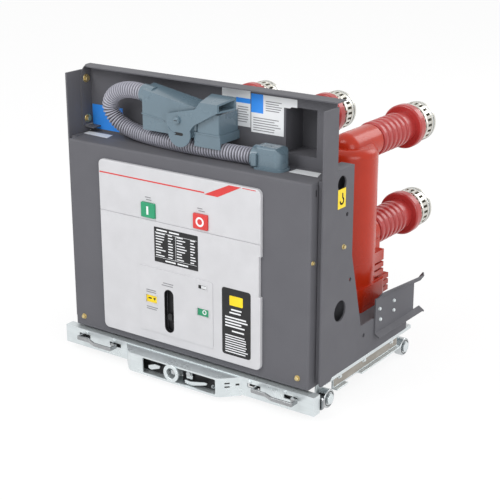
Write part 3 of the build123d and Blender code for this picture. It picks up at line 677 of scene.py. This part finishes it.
# Operators
class BREAKER_OT_finishes(bpy.types.Operator):
    """Build the shared shader groups, the finishes and the node trees."""

    bl_idname = "breaker.finishes"
    bl_label = "Finishes"

    def execute(self, context):
        c = context.scene.breaker_colours
        tone = {k: tuple(getattr(c, k)) for k in BreakerColours.__annotations__}
        GROUPS.update(mottle=mottle_group(), grain=grain_group(), streak=streak_group(), dust=dust_group())
        TREES.update(ring=ring_tree(), bolt=bolt_tree(), print=print_tree())
        for name, colour, low, high, second, scale, more in FINISH_LIST:
            base = tone[colour] if isinstance(colour, str) else srgb(*colour)
            make_finish(name, base, low, high, second, scale, **more)
        make_hose_finish(tone["hose_pale"], tone["hose_dark"])
        return {"FINISHED"}


PAINT = {
    "grey_paint": "powder_grey", "panel_plastic": "panel_face", "green_plastic": "close_green",
    "red_plastic": "open_red", "yellow_plastic": "flag_yellow", "zinc_steel": "zinc_plate",
    "bright_steel": "bright_steel", "blue_grey_plastic": "plug_plastic", "hose_plastic": "hose_rib",
    "epoxy_orange": "pole_resin", "epoxy_red": "sleeve_resin", "silver_contact": "silver_plate",
}
# The charging socket deep in the panel's slot takes dull black as painted shade.
OWN_FINISH = {"charging_socket": "dull_black", "left_handle": "grip_steel", "right_handle": "grip_steel"}
# Nodes whose sharp edges are broken, by the width of the edge
SOFT_EDGES = {
    0.0006: ("front_cover", "mechanism_box"),
    0.0009: ("left_side_plate", "right_side_plate", "plug_latch"),
    0.0008: ("back_plate", "front_panel"),
    0.0007: ("left_shutter_rail", "right_shutter_rail", "truck_floor", "left_truck_rail", "right_truck_rail",
             "front_beam", "crank_bush"),
    0.0010: ("left_handle", "right_handle", "pole_bed"),
    0.0012: ("plug_body", "plug_holder", "hose_elbow", "close_button", "open_button"),
    0.0014: ("pole_left", "pole_centre", "pole_right"),
}
EDGE_OF = {n: w for w, nodes in SOFT_EDGES.items() for n in nodes}


class BREAKER_OT_solids(bpy.types.Operator):
    """Give every solid its finish, and break the edges of sheet, plastic and resin."""

    bl_idname = "breaker.solids"
    bl_label = "Solids"

    def execute(self, context):
        share = context.scene.breaker_sizes.edge / EDGE
        for node, obj in NODES.items():
            finish = OWN_FINISH.get(node, PAINT[SLOT_OF[node]])
            obj.data.materials.clear()
            obj.data.materials.append(FINISHES[finish])
            if node in EDGE_OF:
                softened(node, finish, EDGE_OF[node] * share)
        return {"FINISHED"}


HOSE_RADIUS = 0.0175


class BREAKER_OT_hose(bpy.types.Operator):
    """Corrugated hose from the plug to the elbow."""

    bl_idname = "breaker.hose"
    bl_label = "Hose"

    def execute(self, context):
        sizes = context.scene.breaker_sizes
        curve = bpy.data.curves.new("hose_line", "CURVE")
        curve.dimensions = "3D"
        curve.resolution_u = 48
        spline = curve.splines.new("NURBS")
        spline.points.add(len(HOSE_ROUTE) - 1)
        for point, place in zip(spline.points, HOSE_ROUTE):
            point.co = (*row(*place), 1.0)
        spline.order_u = 3
        spline.use_endpoint_u = True
        line = placed("hose_line", curve)
        flat = bpy.data.meshes.new_from_object(line.evaluated_get(bpy.context.evaluated_depsgraph_get()))
        path = [v.co.copy() for v in flat.vertices]
        bpy.data.objects.remove(line)
        bpy.data.meshes.remove(flat)
        total = sum((b - a).length for a, b in zip(path, path[1:]))
        obj = corrugated_tube("hose_ribbed", path, total, HOSE_RADIUS, sizes.rib_pitch, sizes.rib_depth)
        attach(obj, "breaker")
        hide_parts("plug_hose")
        return {"FINISHED"}


def corrugated_tube(name, path, total, radius, pitch, depth):
    """Tube along a line whose radius rises and falls once for each rib."""
    turns = 28
    per_rib = 6
    fullness = 0.6
    count = round(total / pitch) * per_rib
    reach = [0.0]
    for a, b in zip(path, path[1:]):
        reach.append(reach[-1] + (b - a).length)
    points, faces, crest = [], [], []
    side = Vector(BACK)
    k = 0
    for i in range(count + 1):
        s = total * i / count
        while k < len(path) - 2 and reach[k + 1] < s:
            k += 1
        part = (s - reach[k]) / (reach[k + 1] - reach[k])
        along = (path[k + 1] - path[k]).normalized()
        middle = path[k].lerp(path[k + 1], min(1.0, part))
        side = (side - along * side.dot(along)).normalized()
        other = along.cross(side)
        wave = (0.5 - 0.5 * math.cos(math.tau * i / per_rib)) ** fullness
        r = radius - depth * (1 - wave)
        for j in range(turns):
            a = math.tau * j / turns
            points.append(middle + side * (r * math.cos(a)) + other * (r * math.sin(a)))
            crest.append(wave)
    for i in range(count):
        for j in range(turns):
            n = (j + 1) % turns
            faces.append((i * turns + j, i * turns + n, (i + 1) * turns + n, (i + 1) * turns + j))
    faces.append(tuple(range(turns - 1, -1, -1)))
    faces.append(tuple(count * turns + j for j in range(turns)))
    data = bpy.data.meshes.new(name)
    data.from_pydata(points, [], faces)
    data.attributes.new("crest", "FLOAT", "POINT").data.foreach_set("value", crest)
    data.materials.append(FINISHES["hose_rib"])
    data.polygons.foreach_set("use_smooth", [True] * len(faces))
    work = bmesh.new()
    work.from_mesh(data)
    bmesh.ops.recalc_face_normals(work, faces=work.faces)
    work.to_mesh(data)
    work.free()
    return placed(name, data)


# One contact finger: depth and radius of its outline, and half its width
FINGER = (
    (575.0, 33.0), (575.0, 40.5), (583.0, 40.5), (585.0, 44.2), (612.0, 45.0), (613.5, 43.0), (617.5, 43.0),
    (619.0, 45.0), (624.5, 45.0), (626.0, 43.0), (626.0, 38.5), (621.0, 34.0), (612.0, 28.0), (604.0, 25.0),
    (597.0, 28.0), (590.0, 33.0),
)
FINGER_HALF = 3.4
BAND_R = 45.4
BAND_IN = 37.0
COIL_R = 43.4
COIL_Y = 615.5
COIL_WIRE = 1.9
COIL_STEPS = 10
# Turned pieces of a contact, radius and depth: root plate, coil, inner shade, three bands, outer shade
CONTACT_TURNED = (
    (((0.01, 572.0), (41.0, 572.0), (41.0, 575.6), (38.0, 577.0), (14.0, 577.0), (14.0, 583.0),
      (0.01, 583.0)), 48, 0),
    (tuple((COIL_R + COIL_WIRE * math.cos(math.tau * i / COIL_STEPS),
            COIL_Y + COIL_WIRE * math.sin(math.tau * i / COIL_STEPS)) for i in range(COIL_STEPS)), 60, 1),
    (((24.6, 577.5), (32.0, 577.5), (32.0, 597.0), (24.6, 600.0)), 48, 2),
    (((BAND_IN, 584.2), (44.1, 584.2), (BAND_R, 585.4), (BAND_R, 589.4), (BAND_IN, 589.4)), 60, 0),
    (((BAND_IN, 606.5), (BAND_R, 606.5), (BAND_R, 613.0), (BAND_IN, 613.0)), 60, 0),
    (((BAND_IN, 618.4), (BAND_R, 618.4), (BAND_R, 624.4), (44.0, 625.8), (39.5, 625.8)), 60, 0),
    (((34.0, 590.0), (40.0, 590.0), (40.0, 606.0), (34.0, 606.0)), 48, 2),
)


class BREAKER_OT_contacts(bpy.types.Operator):
    """Tulip contacts: fingers round the bore, held by bands and a coil ring on a root plate."""

    bl_idname = "breaker.contacts"
    bl_label = "Tulip contacts"

    def execute(self, context):
        count = context.scene.breaker_sizes.fingers
        for level, z in LEVEL.items():
            for side in SIDES:
                x = PHASE[side]
                tag = level + "_" + side
                finger = Shape()
                finger.prism([(y - MID_Y, r) for y, r in FINGER], plane_at((0, MID_Y, 0), BACK, UP),
                             -FINGER_HALF, FINGER_HALF)
                data = finger.mesh("fingers_" + tag, ["silver_plate"])
                values = {"Count": count, "Centre": (x * MM, 0.0, z * MM), "Material": FINISHES["silver_plate"]}
                cage = grown("fingers_" + tag, data, "ring", values, "breaker")
                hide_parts(level + "_contact_" + side)
                core = Shape()
                for profile, steps, mark in CONTACT_TURNED:
                    core.lathe(profile, axis_at(x, 0, z, BACK), steps, mark)
                core.piece("contact_core_" + tag, ["silver_plate", "bright_steel", "contact_shade"], "silver_contact")
        return {"FINISHED"}


class BREAKER_OT_bolts(bpy.types.Operator):
    """Bolts of the housing, the rails and the truck."""

    bl_idname = "breaker.bolts"
    bl_label = "Bolts"

    def execute(self, context):
        bolts("cover_bolts", "cover", [(x, COVER_Y, 84) for x in (-284, 284)], AHEAD, "yellow_zinc")
        rivets = ((258, 162), (262, 137), (320, 161), (320, 139))
        for tag, s, aim in (("right", 1, RIGHT), ("left", -1, LEFT)):
            bolts("cover_side_bolt_" + tag, "cover_side", [(s * COVER_X, 21, 329)], aim, "yellow_zinc")
            bolts("plate_bolt_" + tag, "plate", [(s * PLATE_X, 107, 342)], aim, "yellow_zinc")
            bolts("rail_rivets_" + tag, "rivet", [(s * CHANNEL_X, y, z) for y, z in rivets], aim, "zinc_plate",
                  sides=16)
            truck = [(s * (WEB_X + 1), y, 52) for y in (128, 227, 345)]
            bolts("truck_bolts_" + tag, "truck", truck, aim, "zinc_plate")
        bolts("ear_bolts", "ear", [(-319, 88, z) for z in (606, 518)], RIGHT, "yellow_zinc")
        rear = [(x, 132, z) for x in (-290, -100, 100, 290) for z in (440, 165)]
        bolts("wall_bolts", "wall", rear, BACK, "yellow_zinc")
        feet = [(PHASE[s] + dx, y, 134) for s in SIDES for dx in (-45, 45) for y in (247, 389)]
        bolts("bed_bolts", "bed", feet, UP, "zinc_plate")
        # Slits in the cover's sides, drawn as black film: painted shade.
        slits = Shape()
        for plane in both(COVER_X):
            slits.film(rounded(27.5, 30.5, 460, 474, 1.4, 3), plane, 0.2)
        slits.piece("cover_slits", ["dull_black"], "grey_paint")
        # Plates on the rail webs in a darker tone: painted shade and painted reflection of the recessed webs.
        webs = Shape()
        for plane in both(WEB_X):
            webs.prism(rect(109.0, 374.0, 34.0, 65.0), plane, -0.2, 1.0)
        webs.piece("web_plates", ["web_grey"], "zinc_steel")
        return {"FINISHED"}


# Bars in place of print on the operator panel: finish, seed, size of a bar, left ends
PANEL_PRINT = {
    "rating_lines": ("white_film", 7, (26.0, 12.0, 2.2), lines((-64.5, -9.5), PLATE_PRINT_Y, 277.0, 6.0, 9)),
    "rating_values": ("white_film", 11, (14.0, 6.0, 2.2), lines((-32.0, 26.0), PLATE_PRINT_Y, 277.0, 6.0, 9)),
    "rating_heads": ("white_film", 3, (28.0, 22.0, 3.0), [
        (x, PLATE_PRINT_Y, z) for x, z in ((-62.0, 332.4), (-29.0, 332.4), (-40.0, 267.4), (-8.0, 267.4))]),
    "label_lines": ("white_film", 5, (56.0, 44.0, 2.2), lines((113.0,), PLATE_PRINT_Y, 104.0, 5.2, 8)),
    "label_heads": ("white_film", 9, (56.0, 40.0, 3.2), lines((113.0,), PLATE_PRINT_Y, 161.0, 6.4, 4)),
    "label_titles": ("white_film", 2, (32.0, 24.0, 3.2), [
        (x, PLATE_PRINT_Y, z) for x, z in ((128.0, 198.0), (124.0, 191.0), (130.0, 151.0))]),
    "key_lines": ("grey_print", 6, (17.0, 11.0, 1.8), [
        (x, PANEL_PRINT_Y, z) for x, z in ((-91.0, 398.0), (-88.0, 393.0), (45.0, 398.0), (48.0, 393.0))]),
    "pad_lines": ("grey_print", 8, (30.0, 24.0, 1.8), [
        (x, PAD_PRINT_Y, z) for x, z in ((-93.0, 194.0), (-93.0, 189.5), (-93.0, 156.0), (-93.0, 151.5),
                                         (-47.0, 218.0), (-51.0, 213.0))]),
}


class BREAKER_OT_panel_marks(bpy.types.Operator):
    """Lines, marks, windows and plates of the operator panel."""

    bl_idname = "breaker.panel_marks"
    bl_label = "Panel marks"

    def execute(self, context):
        rise = context.scene.breaker_sizes.print_rise / MM
        face, pad, flag = front(PANEL_Y), front(PAD_Y), front(FLAG_Y)
        line = Shape()
        line.film(rect(-214.0, 63.0, 431.8, 434.6), face, rise)
        line.film([(63.0, 430.0), (96.0, 429.5), (153.0, 458.6), (124.0, 458.6)], face, rise)
        line.film(rect(156.0, 188.0, 457.0, 458.6), face, rise)
        line.piece("panel_line", ["open_red"], "red_plastic")
        mark = Shape()
        mark.film(rounded(-84.6, -79.4, 362.0, 380.0, 0.8, 2), front(KEY_Y), rise)
        mark.piece("close_mark", ["white_film"], "green_plastic", "close_key")
        mark = Shape()
        mark.tube(6.2, 10.2, -SINK, rise, axis_at(54.0, KEY_Y, 371.0, AHEAD), 40)
        mark.piece("open_mark", ["white_film"], "red_plastic", "open_key")
        mark = Shape()
        mark.tube(3.0, 5.2, -SINK, rise, axis_at(59.0, FLAG_Y, 174.5, AHEAD), 32)
        mark.piece("state_mark", ["white_film"], "green_plastic")
        mark = Shape()
        mark.film([(-77.0, 176.5), (-73.5, 170.5), (-70.0, 176.5)], flag, rise)
        mark.film(rect(-90.0, -81.0, 173.0, 176.0), flag, rise)
        mark.piece("charge_mark", ["dull_black"], "yellow_plastic")
        self.windows(pad)
        plate = Shape()
        plate.film(rounded(-69.0, 45.0, 262.0, 338.0, 1.5, 3), face, PLATE_RISE, 0)
        for rule in ((-66.5, 42.5, 326.6, 327.2), (-66.5, 42.5, 272.6, 273.2), (-12.6, -12.0, 273.0, 327.0)):
            plate.prism(rect(*rule), face, 0.3, MARK_RISE, 1)
        plate.piece("rating_plate", ["dull_black", "white_film"], "panel_plastic")
        plate = Shape()
        plate.film(rounded(105.0, 176.0, 97.0, 243.0, 6.0, 6), face, PLATE_RISE, 0)
        plate.prism(rounded(124.0, 157.0, 207.0, 228.0, 2.0, 4), face, 0.3, MARK_RISE, 1)
        plate.piece("side_plate_label", ["dull_black", "flag_yellow"], "panel_plastic")
        for name, (finish, seed, bar, places) in PANEL_PRINT.items():
            printed(name, places, bar, finish, seed)
        # Black lining of the slot's walls and floor: painted shade inside the slot.
        well = Shape()
        well.band(rounded(-44.9, -20.1, 108.1, 204.9, 12.4, 8), rounded(-44.3, -20.7, 108.7, 204.3, 11.8, 8),
                  front(10.0), 0.0, 8.5)
        well.prism(rounded(-44.5, -20.5, 108.5, 204.5, 11.9, 8), front(14.0), 0.0, 1.0)
        well.piece("slot_well", ["dull_black"], "panel_plastic")
        return {"FINISHED"}

    def windows(self, pad):
        """Frames of the flags, and the counter with its four digit wheels."""
        frames = Shape()
        for x in (-79.5, 57.0):
            rim = rect(x - 16.8, x + 16.8, 164.2, 184.8)
            frames.band(rim, rect(x - 15.0, x + 15.0, 166.0, 183.0), pad, -SINK, 0.9)
        glass = rect(46.4, 66.6, 226.4, 234.6)
        frames.band(rect(44.0, 69.0, 224.0, 237.0), glass, pad, -SINK, 0.8)
        frames.piece("window_frames", ["panel_face"], "panel_plastic")
        counter = Shape()
        counter.film(glass, pad, 0.15, 0)
        for i in range(4):
            counter.prism(rect(54.0 + i * 3.1, 56.4 + i * 3.1, 227.4, 233.6), pad, 0.0, 0.4, 1)
        counter.piece("counter", ["dull_black", "white_film"], "panel_plastic")


class BREAKER_OT_stickers(bpy.types.Operator):
    """Plain stickers on the deck, the back plate and the side plates."""

    bl_idname = "breaker.stickers"
    bl_label = "Stickers"

    def execute(self, context):
        rise = context.scene.breaker_sizes.print_rise / MM
        deck = Shape()
        deck.film([(-312, 65), (-241, 60), (-247, 86), (-315, 86)], top(DECK_Z), rise)
        deck.film([(226, 60), (292, 60), (283, 88), (227, 86)], top(DECK_Z), rise)
        deck.piece("deck_stickers", ["white_film"], "grey_paint")
        plate = front(BACK_Y)
        over_film = rise * 1.6
        film = Shape()
        film.film(rect(-318.0, -231.0, 493.0, 547.0), plate, rise, 1)
        film.film(rect(70.0, 105.0, 552.0, 626.0), plate, rise, 0)
        film.film(rect(35.0, 70.0, 588.0, 626.0), plate, rise, 0)
        film.prism(rect(70.0, 105.0, 600.0, 610.0), plate, 0.0, over_film, 1)
        film.film([(107, 544), (185, 544), (185, 603), (199, 603), (203, 606), (216, 606), (216, 622), (107, 622)],
                  plate, rise, 0)
        film.prism(rect(107.0, 136.0, 584.0, 622.0), plate, 0.0, over_film, 1)
        film.piece("plate_stickers", ["white_film", "blue_film"], "grey_paint")
        for name, seed, bar, places in (
                ("sticker_lines", 12, (40.0, 30.0, 1.6), lines((142.0,), BACK_PRINT_Y, 610.0, -4.6, 5)),
                ("sticker_rows", 13, (66.0, 48.0, 1.6), lines((112.0,), BACK_PRINT_Y, 574.0, -5.0, 6)),
                ("sticker_notes", 14, (27.0, 18.0, 1.5), lines((74.0,), BACK_PRINT_Y, 592.0, -5.0, 7))):
            printed(name, places, bar, "grey_print", seed)
        bend_r = 6.5
        bend = [(96.5 + bend_r * math.cos(math.radians(a)), 439.0 + bend_r * math.sin(math.radians(a)))
                for a in range(60, -181, -20)]
        track = [(99.0, 454.0), (99.0, 446.0)] + bend
        for name, plane in zip(("right", "left"), both(PLATE_X)):
            hook = Shape()
            hook.film(rect(82.0, 111.0, 424.0, 463.0), plane, rise, 0)
            for a, b in zip(track, track[1:]):
                hook.prism(stroke(a, b, 1.9, 0.6), plane, 0.0, rise * 1.8, 1)
            hook.piece("hook_sticker_" + name, ["flag_yellow", "dull_black"], "grey_paint")
        return {"FINISHED"}


class BREAKER_OT_plug_trim(bpy.types.Operator):
    """Ribs, seam, cam slot and screw of the control plug and its latch."""

    bl_idname = "breaker.plug_trim"
    bl_label = "Plug trim"

    def execute(self, context):
        face, cheek = front(PLUG_Y), front(CHEEK_Y)
        trim = Shape()
        trim.film([(-120.5, 566.0), (-60.0, 557.0), (-60.0, 554.6), (-120.5, 563.6)], face, 1.2)
        trim.film(rect(15.0, 78.0, 541.0, 544.5), face, 1.4)
        trim.piece("plug_seams", ["plug_plastic"], "blue_grey_plastic", edge=0.0004)
        # Black in the latch's cam slot: painted shade.
        cam = Shape()
        cam.prism(rounded(-28.0, -6.0, 534.0, 540.0, 2.9, 5), cheek, -0.2, 0.25)
        cam.piece("cam_slot", ["dull_black"], "blue_grey_plastic", "latch")
        rim = Shape()
        half = 1.2
        track = [(-44.0, 548.0), (-38.0, 541.0), (-30.0, 537.0), (-24.0, 537.0)]
        for (x0, z0), (x1, z1) in zip(track, track[1:]):
            rim.film([(x0, z0 + half), (x0, z0 - half), (x1, z1 - half), (x1, z1 + half)], cheek, 1.0)
        rim.piece("cam_rim", ["plug_plastic"], "blue_grey_plastic", "latch")
        screw = Shape()
        screw.lathe([(0.01, -0.2), (6.4, -0.2), (6.4, 0.8), (5.6, 1.4), (0.01, 1.4)],
                    axis_at(-20.0, PIVOT_Y, 565.0, AHEAD), 32)
        # Black bar across the screw head: painted shade of its slot.
        screw.prism(rect(-24.0, -16.0, 564.3, 565.7), front(PIVOT_Y), 1.2, 1.6, 1)
        screw.piece("pivot_screw", ["plug_plastic", "dull_black"], "blue_grey_plastic")
        lug = Shape()
        lug.prism(rounded(153.0, 165.0, 496.0, 521.0, 2.0, 4), front(ELBOW_Y), -3.0, 1.5)
        lug.piece("elbow_lug", ["plug_plastic"], "blue_grey_plastic", edge=0.0006)
        return {"FINISHED"}


class BREAKER_OT_crank_trim(bpy.types.Operator):
    """Back plate painted black as shade, levers and bolts in the crank box of the truck."""

    bl_idname = "breaker.crank_trim"
    bl_label = "Crank box"

    def execute(self, context):
        on_beam = {"body": "cross_beam", "slot": "zinc_steel"}
        # Black plates behind the crank box's windows: painted shade of its hollow inside.
        well = Shape()
        for x0, x1 in ((-98.0, -15.0), (15.0, 118.0)):
            well.prism(rect(x0, x1, 17.0, 51.0), front(-14.0), 0.0, 1.5)
        well.piece("crank_well", ["dull_black"], **on_beam)
        lever = Shape()
        lever.prism([(-70, 27), (-62, 25), (-40, 33), (-38, 39), (-52, 40), (-70, 34)], front(-24.0), 0.0, 3.0)
        lever.prism([(30, 20), (46, 17.5), (86, 29), (88, 33), (80, 34), (44, 26), (30, 27)], front(-26.0), 0.0, 3.0)
        lever.prism(rounded(29, 45, 28, 50, 2, 3), front(-20.0), 0.0, 2.0)
        lever.piece("crank_levers", ["zinc_plate"], edge=0.0006, **on_beam)
        bolts("crank_bolts", "crank", [(-31, -16, 25), (95, -16, 24)], AHEAD, "bright_steel", **on_beam)
        bolts("crank_nut", "nut", [(38, -22.5, 42)], AHEAD, "bright_steel", **on_beam)
        # Black slots on the slanted face: painted shade.
        slant = plane_at((135.5, -17.5, 0), (1, 1, 0), UP)
        slots = Shape()
        for slot in ((-9.0, 2.0, 41.5, 44.5), (-9.0, 2.0, 33.5, 36.5), (14.0, 22.0, 37.0, 41.0)):
            slots.film(rect(*slot), slant, 0.2)
        slots.piece("crank_slots", ["dull_black"], **on_beam)
        bosses = [(x, 0.2, 52.0) for x in (-268, -190, 176, 262)]
        bolts("beam_bumps", "boss", bosses, AHEAD, "zinc_plate", sides=20, **on_beam)
        # Black where the grips enter the beam: painted shade of the openings.
        for x, tag in ((-186, "left_in"), (-275, "left_out"), (186, "right_in"), (275, "right_out")):
            dark = Shape()
            dark.prism(rect(x - 15.5, x + 15.5, 38.0, 46.5), front(7.0), 0.0, 0.6)
            dark.piece("grip_slot_" + tag, ["dull_black"], **on_beam)
        return {"FINISHED"}


WHEEL_FACE_X = 317.0
WHEEL_Z = 20.0
WHEELS = {"fl": (-1, 81.0), "fr": (1, 81.0), "rl": (-1, 402.0), "rr": (1, 402.0)}


class BREAKER_OT_wheel_trim(bpy.types.Operator):
    """Dark bearing ring on each wheel of the truck."""

    bl_idname = "breaker.wheel_trim"
    bl_label = "Wheels"

    def execute(self, context):
        for tag, (s, y) in WHEELS.items():
            ring = Shape()
            ring.tube(14.2, 16.0, -0.3, 0.35, axis_at(s * WHEEL_FACE_X, y, WHEEL_Z, (s, 0, 0)), 48)
            ring.piece("wheel_ring_" + tag, ["dull_black"], "bright_steel", "wheel_" + tag)
        return {"FINISHED"}


# Studio, in metres: each light's place, target, width and power, and the camera
LIGHTS = {
    "key": ((-0.9, -3.0, 3.0), (0.0, -0.1, 0.3), 2.4, 64.0),
    "fill": ((2.9, -1.7, 1.6), (0.1, 0.0, 0.3), 2.2, 34.0),
    "rim": ((1.2, 2.6, 2.2), (0.0, 0.1, 0.4), 2.0, 30.0),
}
EYE = (1.4984, -2.1750, 1.1376)
AIM = (0.0405, -0.1000, 0.2534)
SENSOR = 36.0
IMAGE_WIDTH = 500
FOCAL_PIXELS = 1239.3
FLOOR_HALF = 6.0
FLOOR_GLOW = 1.05
FLOOR_GLOW_SHARE = 0.8
WORLD_LIGHT = 0.72


class BREAKER_OT_studio(bpy.types.Operator):
    """Pale floor, soft lights and the camera."""

    bl_idname = "breaker.studio"
    bl_label = "Studio"

    def execute(self, context):
        scene = context.scene
        scene.view_settings.view_transform = "Standard"
        make_floor()
        make_world(scene)
        for name, (place, target, size, power) in LIGHTS.items():
            data = bpy.data.lights.new(name, "AREA")
            data.shape = "DISK"
            data.size = size
            data.energy = power
            aimed(placed(name, data), place, target)
        camera = bpy.data.cameras.new("camera")
        camera.sensor_width = SENSOR
        camera.lens = FOCAL_PIXELS / IMAGE_WIDTH * SENSOR
        scene.camera = aimed(placed("camera", camera), EYE, AIM)
        return {"FINISHED"}


def aimed(obj, place, target):
    """Put a light or the camera at a place and turn it to a target."""
    obj.location = place
    obj.rotation_euler = (Vector(target) - Vector(place)).to_track_quat("-Z", "Y").to_euler()
    return obj


def seen_mask(tree):
    """One for rays that show the backdrop: camera, gloss and glass."""
    path = put(tree, "ShaderNodeLightPath").outputs
    first = reckon(tree, "MAXIMUM", path["Is Camera Ray"], path["Is Glossy Ray"])
    return reckon(tree, "MAXIMUM", first, path["Is Transmission Ray"])


def make_floor():
    """Pale floor that keeps the shadow and shows white."""
    r = FLOOR_HALF
    data = bpy.data.meshes.new("floor")
    data.from_pydata([(-r, -r, 0), (r, -r, 0), (r, r, 0), (-r, r, 0)], [], [(0, 1, 2, 3)])
    material = bpy.data.materials.new("pale_floor")
    material.use_nodes = True
    tree = material.node_tree
    shader = feed(tree, tree.nodes["Principled BSDF"], {
        "Base Color": (0.86, 0.86, 0.86, 1.0), "Roughness": 0.9, "Specular IOR Level": 0.1})
    glow = put(tree, "ShaderNodeEmission", {"Color": (1.0, 1.0, 1.0, 1.0), "Strength": FLOOR_GLOW})
    part = reckon(tree, "MULTIPLY", seen_mask(tree), FLOOR_GLOW_SHARE)
    mix = put(tree, "ShaderNodeMixShader", {"Fac": part, 1: shader, 2: glow})
    feed(tree, tree.nodes["Material Output"], {"Surface": mix})
    data.materials.append(material)
    placed("floor", data)


def make_world(scene):
    """White surroundings that light the object at a plain level."""
    world = bpy.data.worlds.new("studio")
    scene.world = world
    world.use_nodes = True
    tree = world.node_tree
    level = put(tree, "ShaderNodeMapRange", {"Value": seen_mask(tree), "To Min": WORLD_LIGHT, "To Max": 1.0})
    feed(tree, tree.nodes["Background"], {"Color": (1.0, 1.0, 1.0, 1.0), "Strength": level})


class BREAKER_PT_panel(bpy.types.Panel):
    """Sidebar panel with the sizes, the colours and the steps."""

    bl_idname = "BREAKER_PT_panel"
    bl_label = "Vacuum circuit breaker"
    bl_space_type = "VIEW_3D"
    bl_region_type = "UI"
    bl_category = "Breaker"

    def draw(self, context):
        column = self.layout.column()
        for key in BreakerSizes.__annotations__:
            column.prop(context.scene.breaker_sizes, key)
        for key in BreakerColours.__annotations__:
            column.prop(context.scene.breaker_colours, key)
        for step in STEPS:
            column.operator(step.bl_idname)


STEPS = (
    BREAKER_OT_finishes, BREAKER_OT_solids, BREAKER_OT_hose, BREAKER_OT_contacts, BREAKER_OT_bolts,
    BREAKER_OT_panel_marks, BREAKER_OT_stickers, BREAKER_OT_plug_trim, BREAKER_OT_crank_trim,
    BREAKER_OT_wheel_trim, BREAKER_OT_studio,
)
CLASSES = (BreakerColours, BreakerSizes, *STEPS, BREAKER_PT_panel)


def register():
    for cls in CLASSES:
        bpy.utils.register_class(cls)
    bpy.types.Scene.breaker_colours = PointerProperty(type=BreakerColours)
    bpy.types.Scene.breaker_sizes = PointerProperty(type=BreakerSizes)


def unregister():
    del bpy.types.Scene.breaker_sizes
    del bpy.types.Scene.breaker_colours
    for cls in reversed(CLASSES):
        bpy.utils.unregister_class(cls)


def main():
    register()
    for step in STEPS:
        group, name = step.bl_idname.split(".")
        getattr(getattr(bpy.ops, group), name)()


if __name__ == "__main__":
    main()
